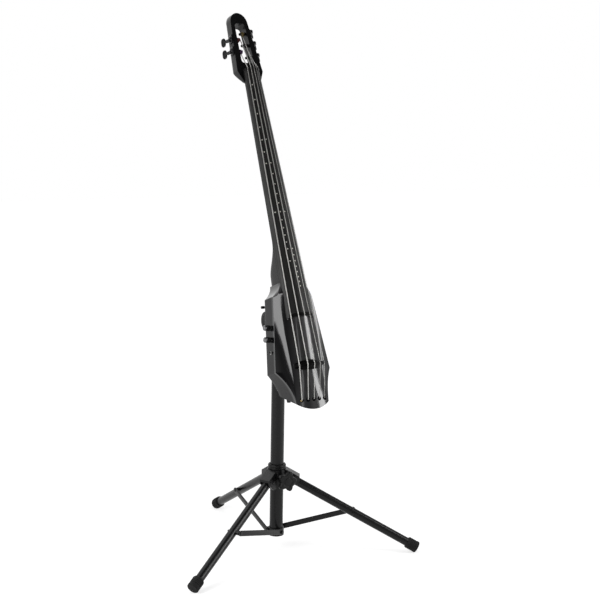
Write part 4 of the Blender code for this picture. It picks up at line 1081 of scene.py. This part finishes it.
# the mesh carries the distance along the string and, from the thread's start, the thread's colour
def buildString(k):
    path, covered = stringPath(k)
    sides = stringSizes["sides"]
    mesh = makeMesh("string", [wire(path, stringSizes["radii"][k], sides, np.array([1.0, 0.0, 0.0]))])
    gone = np.append(0.0, np.cumsum(np.linalg.norm(np.diff(path, axis=0), axis=1)))
    mark = mesh.attributes.new("along", "FLOAT", "POINT")
    mark.data.foreach_set("value", np.repeat(gone, sides))
    colour = np.zeros((len(path), 4))
    colour[:, :3] = stringSizes["threads"][k]
    colour[covered:, 3] = 1.0
    mark = mesh.attributes.new("thread", "FLOAT_COLOR", "POINT")
    mark.data.foreach_set("color", np.repeat(colour, sides, axis=0).ravel())
    name, node = numbered(k, "woundString", "string_")
    piece(name, mesh, stringSteel, "bass", (node,))


for k in range(5):
    buildString(k)
print("strings ready")

# bridge: a blade on a leaf-shaped foot, with a round notch under every string
bridgeSizes = dict(
    half=0.0515, tip=0.056, foot=0.016, blade=0.003, toe=0.003, over=0.0004, pickup=0.003, notch=0.0024,
    notchEase=1.12, topEdge=0.0007, footEdge=0.0006,
)


def buildBridge():
    half, notch = bridgeSizes["half"], np.linspace(-bridgeSizes["notch"], bridgeSizes["notch"], 13)
    notches = np.concatenate([(k - 2) * stringSizes["bridgePitch"] + notch for k in range(5)])
    x = np.unique(np.concatenate([np.linspace(-half, half, 61), notches]))[:, None]
    middle = bassLine["bridgeRise"] - bridgeSizes["toe"]
    base = spineTop(x, np.full_like(x, middle)) + bridgeSizes["pickup"] + 2 * seatGap
    fall = sagitta(stringSizes["bridgeArch"], x)
    top = bassLine["bridgeHeight"] - fall * cosNeck + bridgeSizes["over"]
    for k in range(5):
        radius = stringSizes["radii"][k] * bridgeSizes["notchEase"] + runGap
        off = np.clip(np.abs(x - (k - 2) * stringSizes["bridgePitch"]) / radius, 0.0, 1.0)
        top = top - (radius * np.sqrt(1.0 - off ** 2) + bridgeSizes["over"]) * (off < 1.0)
    topS = bassLine["bridgeRise"] - fall * sinNeck
    foot = bridgeSizes["foot"] * np.sqrt(1.0 - (x / bridgeSizes["tip"]) ** 2)
    t = np.array([0.0, 0.03, 0.12, 0.18, 0.25, 0.33, 0.42, 0.52, 0.63, 0.75, 0.88, 0.97, 1.0])[None]
    thin = bridgeSizes["blade"] + (foot - bridgeSizes["blade"]) * (1.0 - ramp(t, 0.12, 0.9)) ** 2
    thin = thin - bridgeSizes["topEdge"] * (t == 1.0) - bridgeSizes["footEdge"] * (t == 0.0)
    d = mix(t, base, top)
    s = mix(t, middle, topS)
    ring = spots(x, -d, s + thin)
    other = spots(x, -d, s - thin)[:, ::-1]
    blade = sheet(np.concatenate([ring, other], axis=1))
    newPiece("bridgeBlade", [blade], bassFrame, bridgeBlack, "bass", ("bridge",))


buildBridge()

# painted shade: a thin dark strip on the end of the board, bowed with its top, stands in for the dark band of
# shade at the board's end
shadeStripSizes = dict(half=0.044, start=0.0002, long=0.0105, lift=0.0001, thick=0.0006)


def buildShadeStrip():
    x = np.linspace(-shadeStripSizes["half"], shadeStripSizes["half"], 41)
    ring = np.concatenate([x, x[::-1]])[None]
    share = np.array([0.0, 0.03, 0.97, 1.0])[:, None]
    full = np.array([0.6, 1.0, 1.0, 0.6])[:, None]
    w = boardEnd + shadeStripSizes["start"] + shadeStripSizes["long"] * share
    rise = np.repeat([1.0, 0.0], len(x))[None] * shadeStripSizes["thick"] * full
    h = boardTop(ring, w) + shadeStripSizes["lift"] + rise
    newPiece("endShadeStrip", [sheet(spots(ring, -h, w))], neckFrame, endShadeBlack, "bass")


buildShadeStrip()
softened("nut", "stringNut", blackResin, "bass", 0.0004)
softened("control_cover", "controlCover", coverResin, "bass", 0.0005)


# tuning machines
def keyFrame(k):
    way = Vector((0.0, math.cos(tunerSizes["lean"]), math.sin(tunerSizes["lean"])))
    spin = way.to_track_quat("Z", "Y").to_matrix().to_4x4()
    return machineFrame(k) @ shift(-tunerSizes["wormSide"], 0.0, tunerSizes["wormHigh"]) @ spin


# a plate with a turned dome, a sleeve through the wood, the worm's barrel and four screws
def buildHousing(k):
    long, wide, thick = tunerSizes["plate"]
    dome, high = tunerSizes["dome"], tunerSizes["domeHigh"]
    bore = tunerSizes["post"] + runGap
    bushing = bore + tunerSizes["wall"]
    plate = softLine(rectangle(-long / 2, long / 2, -wide / 2, wide / 2), 0.008, 8, True)
    plate = slab(plate, seatGap, thick, 0.0007)
    profile = [(dome + 0.0012, thick - 0.0005), (dome + 0.0012, thick + 0.0008), (dome, thick + 0.0012)]
    profile += [(dome, high * 0.72), (dome * 0.72, high), (dome * 0.05, high + 0.0004)]
    cap = turnedSoft(profile, 0.0016, 5, 56)
    deep = -tunerSizes["deep"]
    sleeve = [(bushing, seatGap), (bushing, deep), (bore, deep), (bore, seatGap)]
    sleeve = turnedSoft(sleeve, 0.0004, 3, 40, True)
    worm, back, front = tunerSizes["worm"], tunerSizes["wormBack"], tunerSizes["wormFront"]
    barrel = softLine([(0.0008, -back), (worm, -back), (worm, front), (0.0008, front)], 0.0014, 5)
    barrel = placed(turned(barrel, 44), machineFrame(k).inverted() @ keyFrame(k))
    parts = [plate, cap, sleeve, barrel]
    head = softLine([(0.0021, 0.0), (0.0021, 0.0009), (0.0012, 0.0014), (0.0003, 0.0015)], 0.0004, 3)
    parts += [placed(turned(head, 20), shift(x, y, thick)) for x, y in tunerSizes["screws"]]
    name, node = numbered(k, "tuningMachine", "tuner_housing_")
    newPiece(name, parts, neckFrame @ machineFrame(k), blackMetal, "bass", (node,))


# a key is a flat rounded pad: a super-ellipse in its plane and in its thickness, dished on both faces
def buildKey(k):
    long, wide, thick = tunerSizes["key"]
    seat = tunerSizes["wormFront"] + seatGap
    tilt = np.linspace(-math.pi / 2 + 0.05, math.pi / 2 - 0.05, 33)[:, None]
    angle = np.linspace(0.0, math.tau, 64, endpoint=False)[None]
    spread = np.cos(tilt) ** tunerSizes["keyRound"]
    plane = 2 / tunerSizes["keyPower"]
    x = long / 2 * spread * np.sign(np.cos(angle)) * np.abs(np.cos(angle)) ** plane
    z = wide / 2 * spread * np.sign(np.sin(angle)) * np.abs(np.sin(angle)) ** plane
    dish = 1.0 - tunerSizes["keyDish"] * np.exp(-((spread / tunerSizes["dishReach"]) ** 2))
    y = thick / 2 * np.sign(np.sin(tilt)) * np.abs(np.sin(tilt)) ** tunerSizes["keyRound"] * dish
    pad = sheet(spots(x, y, z + seat + tunerSizes["keyStem"] + wide / 2))
    shaft, worm = tunerSizes["shaft"], tunerSizes["worm"]
    stem = [(shaft, runGap), (shaft, seat), (worm * 0.8, seat)]
    stem += [(worm * 0.62, seat + 0.003), (worm * 0.5, seat + 0.006)]
    parts = [pad, turnedSoft(stem, 0.0008, 4, 32)]
    name, node = numbered(k, "tuningKey", "tuner_key_")
    newPiece(name, parts, neckFrame @ keyFrame(k), blackMetal, node, (node,))


# a turned post from inside the dome to its tip in the slot
def buildPost(k):
    radius = tunerSizes["post"]
    tip = tunerSizes["tip"][k] - float(headHalf(scaleLong + tunerSizes["rise"][k]))
    top = tunerSizes["domeHigh"] - 0.002 - runGap
    profile = [(radius, top), (radius, tip + 0.002), (radius * 0.97, tip + 0.0012), (radius * 0.8, tip)]
    parts = [turnedSoft(profile, 0.0006, 4, 40)]
    name, node = numbered(k, "windingPost", "tuner_post_")
    newPiece(name, parts, neckFrame @ machineFrame(k), blackMetal, node, (node,))


for k in range(5):
    buildHousing(k)
    buildKey(k)
    buildPost(k)
print("tuning machines ready")

# controls on the side wall
knobSizes = dict(radius=0.0095, long=0.0225, seat=0.0026, capFrom=0.66, flutes=30, deep=0.0005)


# two profiles carried round: a fluted barrel and a bright cap
def buildKnob(word, rise):
    radius, long, seat = knobSizes["radius"], knobSizes["long"], knobSizes["seat"]
    split = seat + long * knobSizes["capFrom"]
    barrel = [(0.0036, seat), (radius * 0.98, seat), (radius, seat + 0.0012)]
    barrel += [(radius, mix(t, seat + 0.0016, split - 0.0016)) for t in np.linspace(0.0, 1.0, 6)]
    barrel += [(radius, split - 0.0008), (radius * 0.9, split - 0.0002)]
    barrel += [(radius * 0.9, split + 0.0004), (0.003, split + 0.0004)]
    fluted = (seat + 0.0014, split - 0.0012)
    barrel = turned(barrel, 240, False, knobSizes["flutes"], knobSizes["deep"], fluted)
    place = panelFrame @ shift(rise, 0.0, 0.0)
    body = word + "_knob"
    newPiece(word + "KnobBarrel", [barrel], place, blackResin, body, (body,))
    top = seat + long
    cap = [(radius * 0.5, split + 0.0005), (radius * 0.99, split + 0.0005), (radius * 0.99, top - 0.0024)]
    cap += [(radius * 0.86, top - 0.0004), (radius * 0.6, top)]
    cap += [(radius * 0.52, top - 0.0005), (0.0004, top - 0.0007)]
    cap = turnedSoft(cap, 0.0008, 4, 72)
    newPiece(word + "KnobCap", [cap], place, brightSteel, body)


buildKnob("volume", panelSizes["volume"])
buildKnob("tone", panelSizes["tone"])

switchSizes = dict(ball=0.003, sink=0.002, stem=0.0015, tip=0.0022, long=0.011, rest=math.radians(12.0))


# a turned lever on a ball, and a six-sided ring nut round it
def buildSwitch():
    place = panelFrame @ shift(panelSizes["switch"], 0.0, 0.0)
    pivot = switchSizes["sink"] - switchSizes["ball"] - 2 * runGap
    tip, long = switchSizes["tip"], switchSizes["long"]
    profile = [(0.0008, -0.0028), (0.0028, -0.0012), (switchSizes["ball"], 0.0), (0.0026, 0.0016)]
    profile += [(switchSizes["stem"], 0.0028), (tip, long - 0.0026), (tip, long - 0.001), (tip * 0.55, long)]
    lever = turnedSoft(profile, 0.0006, 4, 36)
    rest = place @ shift(0.0, 0.0, pivot) @ turn(switchSizes["rest"], "Y")
    newPiece("switchToggle", [lever], rest, blackMetal, "switch_lever", ("switch_lever",))
    ring = [(0.0052, seatGap), (0.0068, seatGap), (0.0068, 0.0015), (0.0058, 0.0019), (0.0052, 0.0016)]
    ring = turnedSoft(ring, 0.0004, 3, 6 * 8, True, 6, 0.0005, (-1.0, 1.0))
    newPiece("switchRing", [ring], place, blackMetal, "bass")


buildSwitch()


# the outline of the socket's wall carried round
def buildJack():
    sink = jackSizes["sink"]
    face = sink - 0.003
    nose = face - jackSizes["noseLong"]
    bore, barrel, flange = jackSizes["bore"], jackSizes["barrel"], jackSizes["flange"]
    tube, lip = jackSizes["nose"], jackSizes["lip"]
    profile = [(bore, sink + 0.012), (barrel, sink + 0.012), (barrel, sink - seatGap)]
    profile += [(flange, sink - seatGap), (flange, face), (tube, face), (tube, nose + 0.004)]
    profile += [(tube - lip, nose + 0.0035), (tube - lip, nose), (bore, nose)]
    socket = turnedSoft(profile, 0.0005, 3, 56, True)
    newPiece("outputSocket", [socket], jackFrame, blackMetal, "bass", ("output_jack",))


buildJack()


# brass end of the thickest string, seen in the mouth of its hole
ballSizes = dict(bore=0.0021, radius=0.0039, long=0.004, sunk=0.0022)


def buildBallEnd():
    mouth, inward = tailHole(0)
    facing = inward.to_track_quat("Z", "X").to_matrix().to_4x4()
    place = bassFrame @ Matrix.Translation(mouth + inward * ballSizes["sunk"]) @ facing
    ring = rectangle(ballSizes["bore"], ballSizes["radius"], 0.0, ballSizes["long"])
    newPiece("stringEndBarrel", [turnedSoft(ring, 0.0005, 4, 36, True)], place, warmBrass, "bass")


buildBallEnd()
print("controls ready")

# bracket and tilt head
softened("back_bracket", "backBracket", powderCoat, "bass", 0.0009)
softened("tilt_head", "tiltHead", powderCoat, "stand_post", 0.0009)
tiltSizes = dict(
    ear=0.0354, knob=0.033, thick=0.019, flutes=36, fluteDeep=0.0011, pinRise=0.046, pinForward=0.0115,
    pinOut=0.062, pinHead=0.005, pin=0.003,
)
alongX = turn(math.pi / 2, "Y")


# a profile carried round, with flutes along its edge
def buildTiltKnob():
    near = tiltSizes["ear"] + runGap
    far = near + tiltSizes["thick"]
    radius = tiltSizes["knob"]
    profile = [(0.0054, -near - 0.0002), (radius * 0.45, -near)]
    profile += [(radius * 0.88, -near - 0.002), (radius * 0.985, -near - 0.0042)]
    profile += [(radius, mix(t, -near - 0.005, -far + 0.0035)) for t in np.linspace(0.0, 1.0, 6)]
    profile += [(radius * 0.96, -far + 0.001), (radius * 0.88, -far), (radius * 0.6, -far + 0.0002)]
    profile += [(radius * 0.55, -far + 0.0016), (radius * 0.2, -far + 0.0018), (0.0006, -far + 0.0018)]
    fluted = (-far + 0.003, -near - 0.0046)
    grip = turned(profile, 288, False, tiltSizes["flutes"], tiltSizes["fluteDeep"], fluted)
    newPiece("tiltGrip", [grip], levelFrame @ alongX, blackResin, "tilt_knob", ("tilt_knob",))


buildTiltKnob()


# a turned pin with a head at either end
def buildPin():
    out = tiltSizes["pinOut"]
    ear = tiltSizes["ear"]
    head, radius = tiltSizes["pinHead"], tiltSizes["pin"]
    profile = [(0.0006, -out - 0.006), (0.0042, -out - 0.006), (head, -out - 0.004), (head, -out + 0.006)]
    profile += [(radius, -out + 0.0062), (radius, ear + seatGap), (head, ear + seatGap)]
    profile += [(head, ear + 0.004), (0.0006, ear + 0.004)]
    pin = turnedSoft(profile, 0.0008, 4, 40)
    place = tiltFrame @ shift(0.0, -tiltSizes["pinForward"], tiltSizes["pinRise"]) @ alongX
    newPiece("bracketPin", [pin], place, blackMetal, "bass", ("bracket_pin",))


buildPin()
print("bracket ready")

# stand
standSizes = dict(
    post=0.02345, postWall=0.0025, postLow=0.057, postTop=0.7833, hubHigh=0.29523, bushWall=0.0078,
    bushHigh=0.0165, leg=0.015, legStart=0.012, eye=0.013, footEnd=0.012, footLong=0.042, boss=0.008,
    onLeg=0.250, offset=0.0275, boltEnd=0.004, boltOut=0.006, clamp=0.268, bossOut=0.048, screw=0.005,
    stem=0.010, starNear=0.069, starFar=0.087, starMean=0.031, starWave=0.0056, lobes=5, braceReach=0.012,
    braceHeight=0.070, braceThick=0.005, braceEye=0.0095, boltHead=0.0065, cheek=0.004, ribs=4,
    ribStart=0.0055, ribPitch=0.006, ribDeep=0.0013,
)


# the outline of the tube's wall carried round
def buildPostTube():
    outer, low, high = standSizes["post"], standSizes["postLow"], standSizes["postTop"]
    inner = outer - standSizes["postWall"]
    ring = [(outer, low)] + [(outer, mix(t, low, high)) for t in np.linspace(0.1, 0.9, 7)] + [(outer, high)]
    ring += [(inner, high), (inner, low)]
    tube = turnedSoft(ring, 0.0005, 3, 96, True)
    newPiece("postTube", [tube], standFrame, powderCoat, "stand_post", ("post",))


buildPostTube()


# a turned ring with a groove round it
def buildBush():
    bore = standSizes["post"] + runGap
    outer = bore + standSizes["bushWall"]
    low = standSizes["hubHigh"] + seatGap
    high = low + standSizes["bushHigh"]
    ring = [(bore, low), (outer - 0.0004, low), (outer, low + 0.0012), (outer, low + 0.0052)]
    ring += [(outer - 0.0012, low + 0.006), (outer - 0.0012, low + 0.0075), (outer, low + 0.0083)]
    ring += [(outer, high - 0.0034), (outer - 0.0024, high), (bore, high)]
    bush = turnedSoft(ring, 0.001, 4, 96, True)
    newPiece("hubBushing", [bush], standFrame, blackResin, "hub", ("hub_bush",))


buildBush()
softened("hub", "hubCasting", powderCoat, "hub", 0.0014, 3)
softened("bottom_collar", "bottomCollar", powderCoat, "stand_post", 0.0009)


# a five-lobed knob: the outline is a circle plus a wave, scaled down the profile from rim to middle
def buildStar():
    angle = np.linspace(0.0, math.tau, 160, endpoint=False)[None]
    near, far = standSizes["starNear"], standSizes["starFar"]
    profile = softLine([
        (0.36, near), (0.90, near), (1.0, near + 0.0028), (1.0, far - 0.0034), (0.90, far - 0.0004),
        (0.60, far), (0.56, far - 0.0014), (0.44, far - 0.0014), (0.40, far + 0.0002), (0.05, far + 0.0004),
    ], 0.02, 4)
    share = profile[:, :1]
    wave = standSizes["starWave"] * share ** 2.5
    radius = standSizes["starMean"] * share + wave * np.cos(standSizes["lobes"] * angle)
    head = sheet(around(radius, angle, profile[:, 1:]))
    thread, wide = standSizes["screw"], standSizes["stem"]
    screw = turned([(thread, standSizes["post"] + runGap), (thread, near)], 40)
    start, end = standSizes["bossOut"] + runGap, near + 0.001
    stem = turnedSoft([(0.004, start), (wide, start), (wide, end), (0.004, end)], 0.001, 3, 48)
    place = standFrame @ shift(0.0, 0.0, standSizes["clamp"]) @ turn(math.pi / 2, "X")
    newPiece("starGrip", [head, screw, stem], place, blackResin, "star_knob", ("star_knob",))


buildStar()


# frames of a leg: its heading, its hinge, its slope
def spokeFrame(k):
    return standFrame @ turn(math.radians(standLine["headings"][k]), "Z")


def hingeFrame(k):
    return spokeFrame(k) @ shift(standLine["hingeReach"], 0.0, standLine["hingeHeight"])


def legFrame(k):
    return hingeFrame(k) @ turn(standLine["legAngle"], "Y")


alongY = turn(-math.pi / 2, "X")


# a turned tube with an eye at the hinge, a boss for the brace and the end of its bolt
def buildLeg(k):
    radius = standSizes["leg"]
    end = legLong - standSizes["footEnd"] - seatGap
    profile = [(0.003, standSizes["legStart"]), (radius, standSizes["legStart"])]
    profile += [(radius, mix(t, standSizes["legStart"] + 0.004, end)) for t in np.linspace(0.0, 1.0, 12)]
    profile += [(0.003, end)]
    tube = placed(turnedSoft(profile, 0.0012, 4, 80), alongX)
    eye = rectangle(0.0044, standSizes["eye"], -radius + runGap, radius - runGap)
    eye = placed(turnedSoft(eye, 0.0012, 4, 56, True), alongY)
    bolt = shift(standSizes["onLeg"], 0.0, 0.0) @ alongY
    root, wide, out = radius * 0.8, standSizes["boss"], standSizes["offset"]
    boss = [(0.004, root), (wide, root), (wide, out), (0.004, out)]
    boss = placed(turnedSoft(boss, 0.0008, 4, 40), bolt)
    root, wide, out = -radius * 0.9, standSizes["boltEnd"], -radius - standSizes["boltOut"]
    nub = [(0.0008, root), (wide, root), (wide, -radius - 0.0048), (wide * 0.7, out), (0.0008, out)]
    nub = placed(turnedSoft(nub, 0.0006, 3, 32), bolt)
    name, node = numbered(k, "legTube", "leg_")
    newPiece(name, [tube, eye, boss, nub], legFrame(k), powderCoat, node, (node,))


# a ribbed rubber boot on the leg, pressed flat where it meets the floor
def buildFoot(k):
    radius = standLine["footRadius"]
    bore = standSizes["leg"] + seatGap
    back = legLong - standSizes["footLong"]
    groove = radius - standSizes["ribDeep"]
    profile = [(bore, legLong - standSizes["footEnd"]), (bore, back)]
    profile += [(radius - 0.0034, back), (radius - 0.0006, back + 0.003)]
    for rib in range(standSizes["ribs"]):
        at = back + standSizes["ribStart"] + rib * standSizes["ribPitch"]
        profile += [(radius, at), (radius, at + 0.0026), (groove, at + 0.0034), (groove, at + 0.0052)]
    profile += [(radius, legLong - 0.0108), (radius, legLong - 0.0022)]
    profile += [(radius - 0.0022, legLong), (0.002, legLong)]
    points, faces = placed(turnedSoft(profile, 0.0008, 3, 88), legFrame(k) @ alongX)
    points[:, 2] = np.maximum(points[:, 2], 0.0)
    name, body, node = numbered(k, "rubberBoot", "leg_", "foot_")
    piece(name, makeMesh(name, [(points, faces)]), rubberBlack, body, (node,))


# a turned pin, the same at both ends
def buildLegPin(k):
    reach = standSizes["leg"] + runGap + standSizes["cheek"] + seatGap
    head = standSizes["boltHead"]
    profile = [(0.0008, -reach - 0.0024), (0.0038, -reach - 0.0022), (head, -reach - 0.0006)]
    profile += [(head, -reach), (0.004, -reach)]
    profile += [(r, -h) for r, h in reversed(profile)]
    pin = turnedSoft(profile, 0.0006, 3, 36)
    name, node = numbered(k, "hingePin", "leg_pin_")
    newPiece(name, [pin], hingeFrame(k) @ alongY, blackMetal, "hub", (node,))


# a flat bar with round ends and a bolt through the far one
def buildBrace(k):
    reach, angle = standSizes["onLeg"], standLine["legAngle"]
    out = standLine["hingeReach"] + reach * math.cos(angle) - standSizes["braceReach"]
    up = standLine["hingeHeight"] - reach * math.sin(angle) - standSizes["braceHeight"]
    long = math.hypot(out, up)
    eye = standSizes["braceEye"]
    a = np.linspace(-math.pi / 2, math.pi / 2, 17)
    far = np.stack([long + eye * np.cos(a), eye * np.sin(a)], axis=1)
    near = np.stack([-eye * np.cos(a), -eye * np.sin(a)], axis=1)
    low = standSizes["offset"] + seatGap
    bar = lain(slab(np.concatenate([far, near]), low, low + standSizes["braceThick"], 0.0016, 4))
    head, wide = low + standSizes["braceThick"], standSizes["boltHead"]
    bolt = [(0.0008, head - 0.001), (wide, head - 0.001), (wide, head + 0.0009), (0.0056, head + 0.0017)]
    bolt += [(0.0008, head + 0.00175)]
    bolt = turnedSoft(bolt, 0.0005, 3, 48, False, 6, 0.0006, (head, head + 0.0016))
    bolt = placed(bolt, shift(long, 0.0, 0.0) @ alongY)
    place = spokeFrame(k) @ shift(standSizes["braceReach"], 0.0, standSizes["braceHeight"])
    place = place @ turn(-math.atan2(up, out), "Y")
    name, node = numbered(k, "braceBar", "brace_")
    newPiece(name, [bar, bolt], place, powderCoat, node, (node,))


for k in range(3):
    buildLeg(k)
    buildFoot(k)
    buildLegPin(k)
    buildBrace(k)
print("stand ready")

# CAD nodes that stay as they are get their finish here
steelNodes = ("truss_rod", "volume_pot", "tone_pot", "mode_switch", "tilt_bolt")
keptNodes = {name: ("bare_steel", bareSteel) for name in steelNodes}
keptNodes["pickup_strip"] = ("black_resin", blackResin)
for name, (slot, finish) in keptNodes.items():
    coat(nodes[name].data, finish)

# pale floor, lamps and camera
studio = dict(
    floorReach=14.0, floorColour=(0.55, 0.55, 0.55), floorRough=0.9, glowNear=0.66, glowFar=0.88,
    glowFrom=0.6, glowTo=2.2, aim=(0.0, -0.2, 0.80), left=((-2.165, -0.655, 1.43), (1.29, 1.9), 38.4),
    right=((1.76, -1.68, 1.40), (0.72, 1.9), 34.0), front=((-0.10, -3.20, 2.15), (0.26, 1.3), 2.2),
    top=((0.0, 1.0, 3.4), (2.2, 2.2), 20.0), ambient=0.30, wallBehind=(-0.25, 0.55),
    roomHigh=(0.50, 0.74, 0.12),
    roomTones=(
        (-0.60, 0.12), (-0.42, 0.25), (-0.22, 0.44), (0.05, 0.42), (0.28, 0.35), (0.44, 0.80), (0.86, 0.50),
    ),
)


# 1 for what the camera sees itself, in a mirror or through glass
def seenDirectly(tree):
    path = addNode(tree, "LightPath")
    both = addNode(tree, "Math", operation="MAXIMUM")
    every = addNode(tree, "Math", operation="MAXIMUM")
    join(
        tree,
        (path, "Is Glossy Ray", both, 0),
        (path, "Is Transmission Ray", both, 1),
        (path, "Is Camera Ray", every, 0),
        (both, 0, every, 1),
    )
    return every


# pale paper that glows where it is seen, less under the object, so that it stays white but keeps a shadow
def buildFloor():
    reach = studio["floorReach"]
    corners = [(x, y, 0.0) for x, y in rectangle(-reach, reach, -reach, reach)]
    mesh = bpy.data.meshes.new("floor")
    mesh.from_pydata(corners, [], [(0, 1, 2, 3)])
    floor = newObject("floor", mesh)
    paper, tree, shader = newMaterial("paleFloor", {
        "Base Color": (*studio["floorColour"], 1.0), "Roughness": studio["floorRough"],
        "Specular IOR Level": 0.0, "Emission Color": (1.0, 1.0, 1.0, 1.0),
    })
    spot = addNode(tree, "TexCoord")
    away = addNode(tree, "VectorMath", operation="LENGTH")
    fall = addNode(tree, "MapRange", {
        "From Min": studio["glowFrom"], "From Max": studio["glowTo"],
        "To Min": studio["glowNear"], "To Max": studio["glowFar"],
    }, interpolation_type="SMOOTHSTEP")
    glow = addNode(tree, "Math", operation="MULTIPLY")
    join(
        tree,
        (spot, "Object", away, 0),
        (away, "Value", fall, "Value"),
        (seenDirectly(tree), 0, glow, 0),
        (fall, "Result", glow, 1),
        (glow, 0, shader, "Emission Strength"),
    )
    mesh.materials.append(paper)


# a soft box aimed at the object
def buildLamp(name, place, size, power):
    lamp = bpy.data.lights.new(name, "AREA")
    lamp.shape = "RECTANGLE"
    lamp.size, lamp.size_y = size
    lamp.energy = power
    made = newObject(name, lamp)
    made.location = place
    made.rotation_euler = (Vector(studio["aim"]) - Vector(place)).to_track_quat("-Z", "Y").to_euler()
    made.visible_camera = False


# a white wall behind the object; in front of it a darker room whose tone changes across and falls off high up
def buildWorld():
    world = bpy.data.worlds.new("studio")
    bpy.context.scene.world = world
    world.use_nodes = True
    tree = world.node_tree
    back = tree.nodes["Background"]
    back.inputs["Color"].default_value = (1.0, 1.0, 1.0, 1.0)
    near, far = studio["wallBehind"]
    start, end, least = studio["roomHigh"]
    path = addNode(tree, "LightPath")
    spot = addNode(tree, "TexCoord")
    axes = addNode(tree, "SeparateXYZ")
    wall = addNode(tree, "MapRange", {"From Min": near, "From Max": far})
    across = addNode(tree, "MapRange", {"From Min": -1.0})
    upper = addNode(tree, "MapRange", {
        "From Min": start, "From Max": end, "To Min": 1.0, "To Max": least,
    }, interpolation_type="SMOOTHSTEP")
    tones = addNode(tree, "ValToRGB")
    stops = tones.color_ramp.elements
    while len(stops) < len(studio["roomTones"]):
        stops.new(0.5)
    for stop, (side, tone) in zip(stops, studio["roomTones"]):
        stop.position = (side + 1.0) / 2
        stop.color = (tone, tone, tone, 1.0)
    room = addNode(tree, "Math", operation="MULTIPLY")
    most = addNode(tree, "Math", operation="MAXIMUM")
    lit = addNode(tree, "Mix", {"A": studio["ambient"]})
    shown = addNode(tree, "Mix", {"B": 1.0})
    join(
        tree,
        (spot, "Generated", axes, 0),
        (axes, "X", across, "Value"),
        (axes, "Y", wall, "Value"),
        (axes, "Z", upper, "Value"),
        (across, "Result", tones, "Fac"),
        (tones, "Color", room, 0),
        (upper, "Result", room, 1),
        (room, 0, most, 0),
        (wall, "Result", most, 1),
        (most, 0, lit, "B"),
        (seenDirectly(tree), 0, lit, "Factor"),
        (lit, "Result", shown, "A"),
        (path, "Is Camera Ray", shown, "Factor"),
        (shown, "Result", back, "Strength"),
    )


# the camera stands front left, a little above the middle, turned by its heading, pitch and roll
camera = dict(
    around=math.radians(27.846), away=4.2874, high=1.5843, yaw=math.radians(0.941), pitch=math.radians(9.174),
    roll=math.radians(1.002), focal=1266.89, image=600, sensor=36.0, farthest=100.0,
)


def buildCamera():
    lens = bpy.data.cameras.new("camera")
    lens.sensor_width = camera["sensor"]
    lens.lens = camera["focal"] * camera["sensor"] / camera["image"]
    lens.clip_end = camera["farthest"]
    made = newObject("camera", lens)
    bpy.context.scene.camera = made
    heading = camera["around"] + camera["yaw"]
    level, down = math.cos(camera["pitch"]), math.sin(camera["pitch"])
    ahead = Vector((math.sin(heading) * level, math.cos(heading) * level, -down))
    right = Vector((math.cos(heading), -math.sin(heading), 0.0))
    up = right.cross(ahead)
    roll = camera["roll"]
    turnedRight = right * math.cos(roll) + up * math.sin(roll)
    turnedUp = up * math.cos(roll) - right * math.sin(roll)
    bearing, away = camera["around"], camera["away"]
    place = Vector((-away * math.sin(bearing), -away * math.cos(bearing), camera["high"]))
    axes = Matrix((turnedRight, turnedUp, -ahead)).transposed().to_4x4()
    made.matrix_world = Matrix.Translation(place + standFrame.translation) @ axes


buildFloor()
for word in ("left", "right", "front", "top"):
    buildLamp(word + "Lamp", *studio[word])
buildWorld()
buildCamera()
bpy.context.scene.view_settings.view_transform = "Standard"
print("studio ready")

bpy.context.view_layer.update()
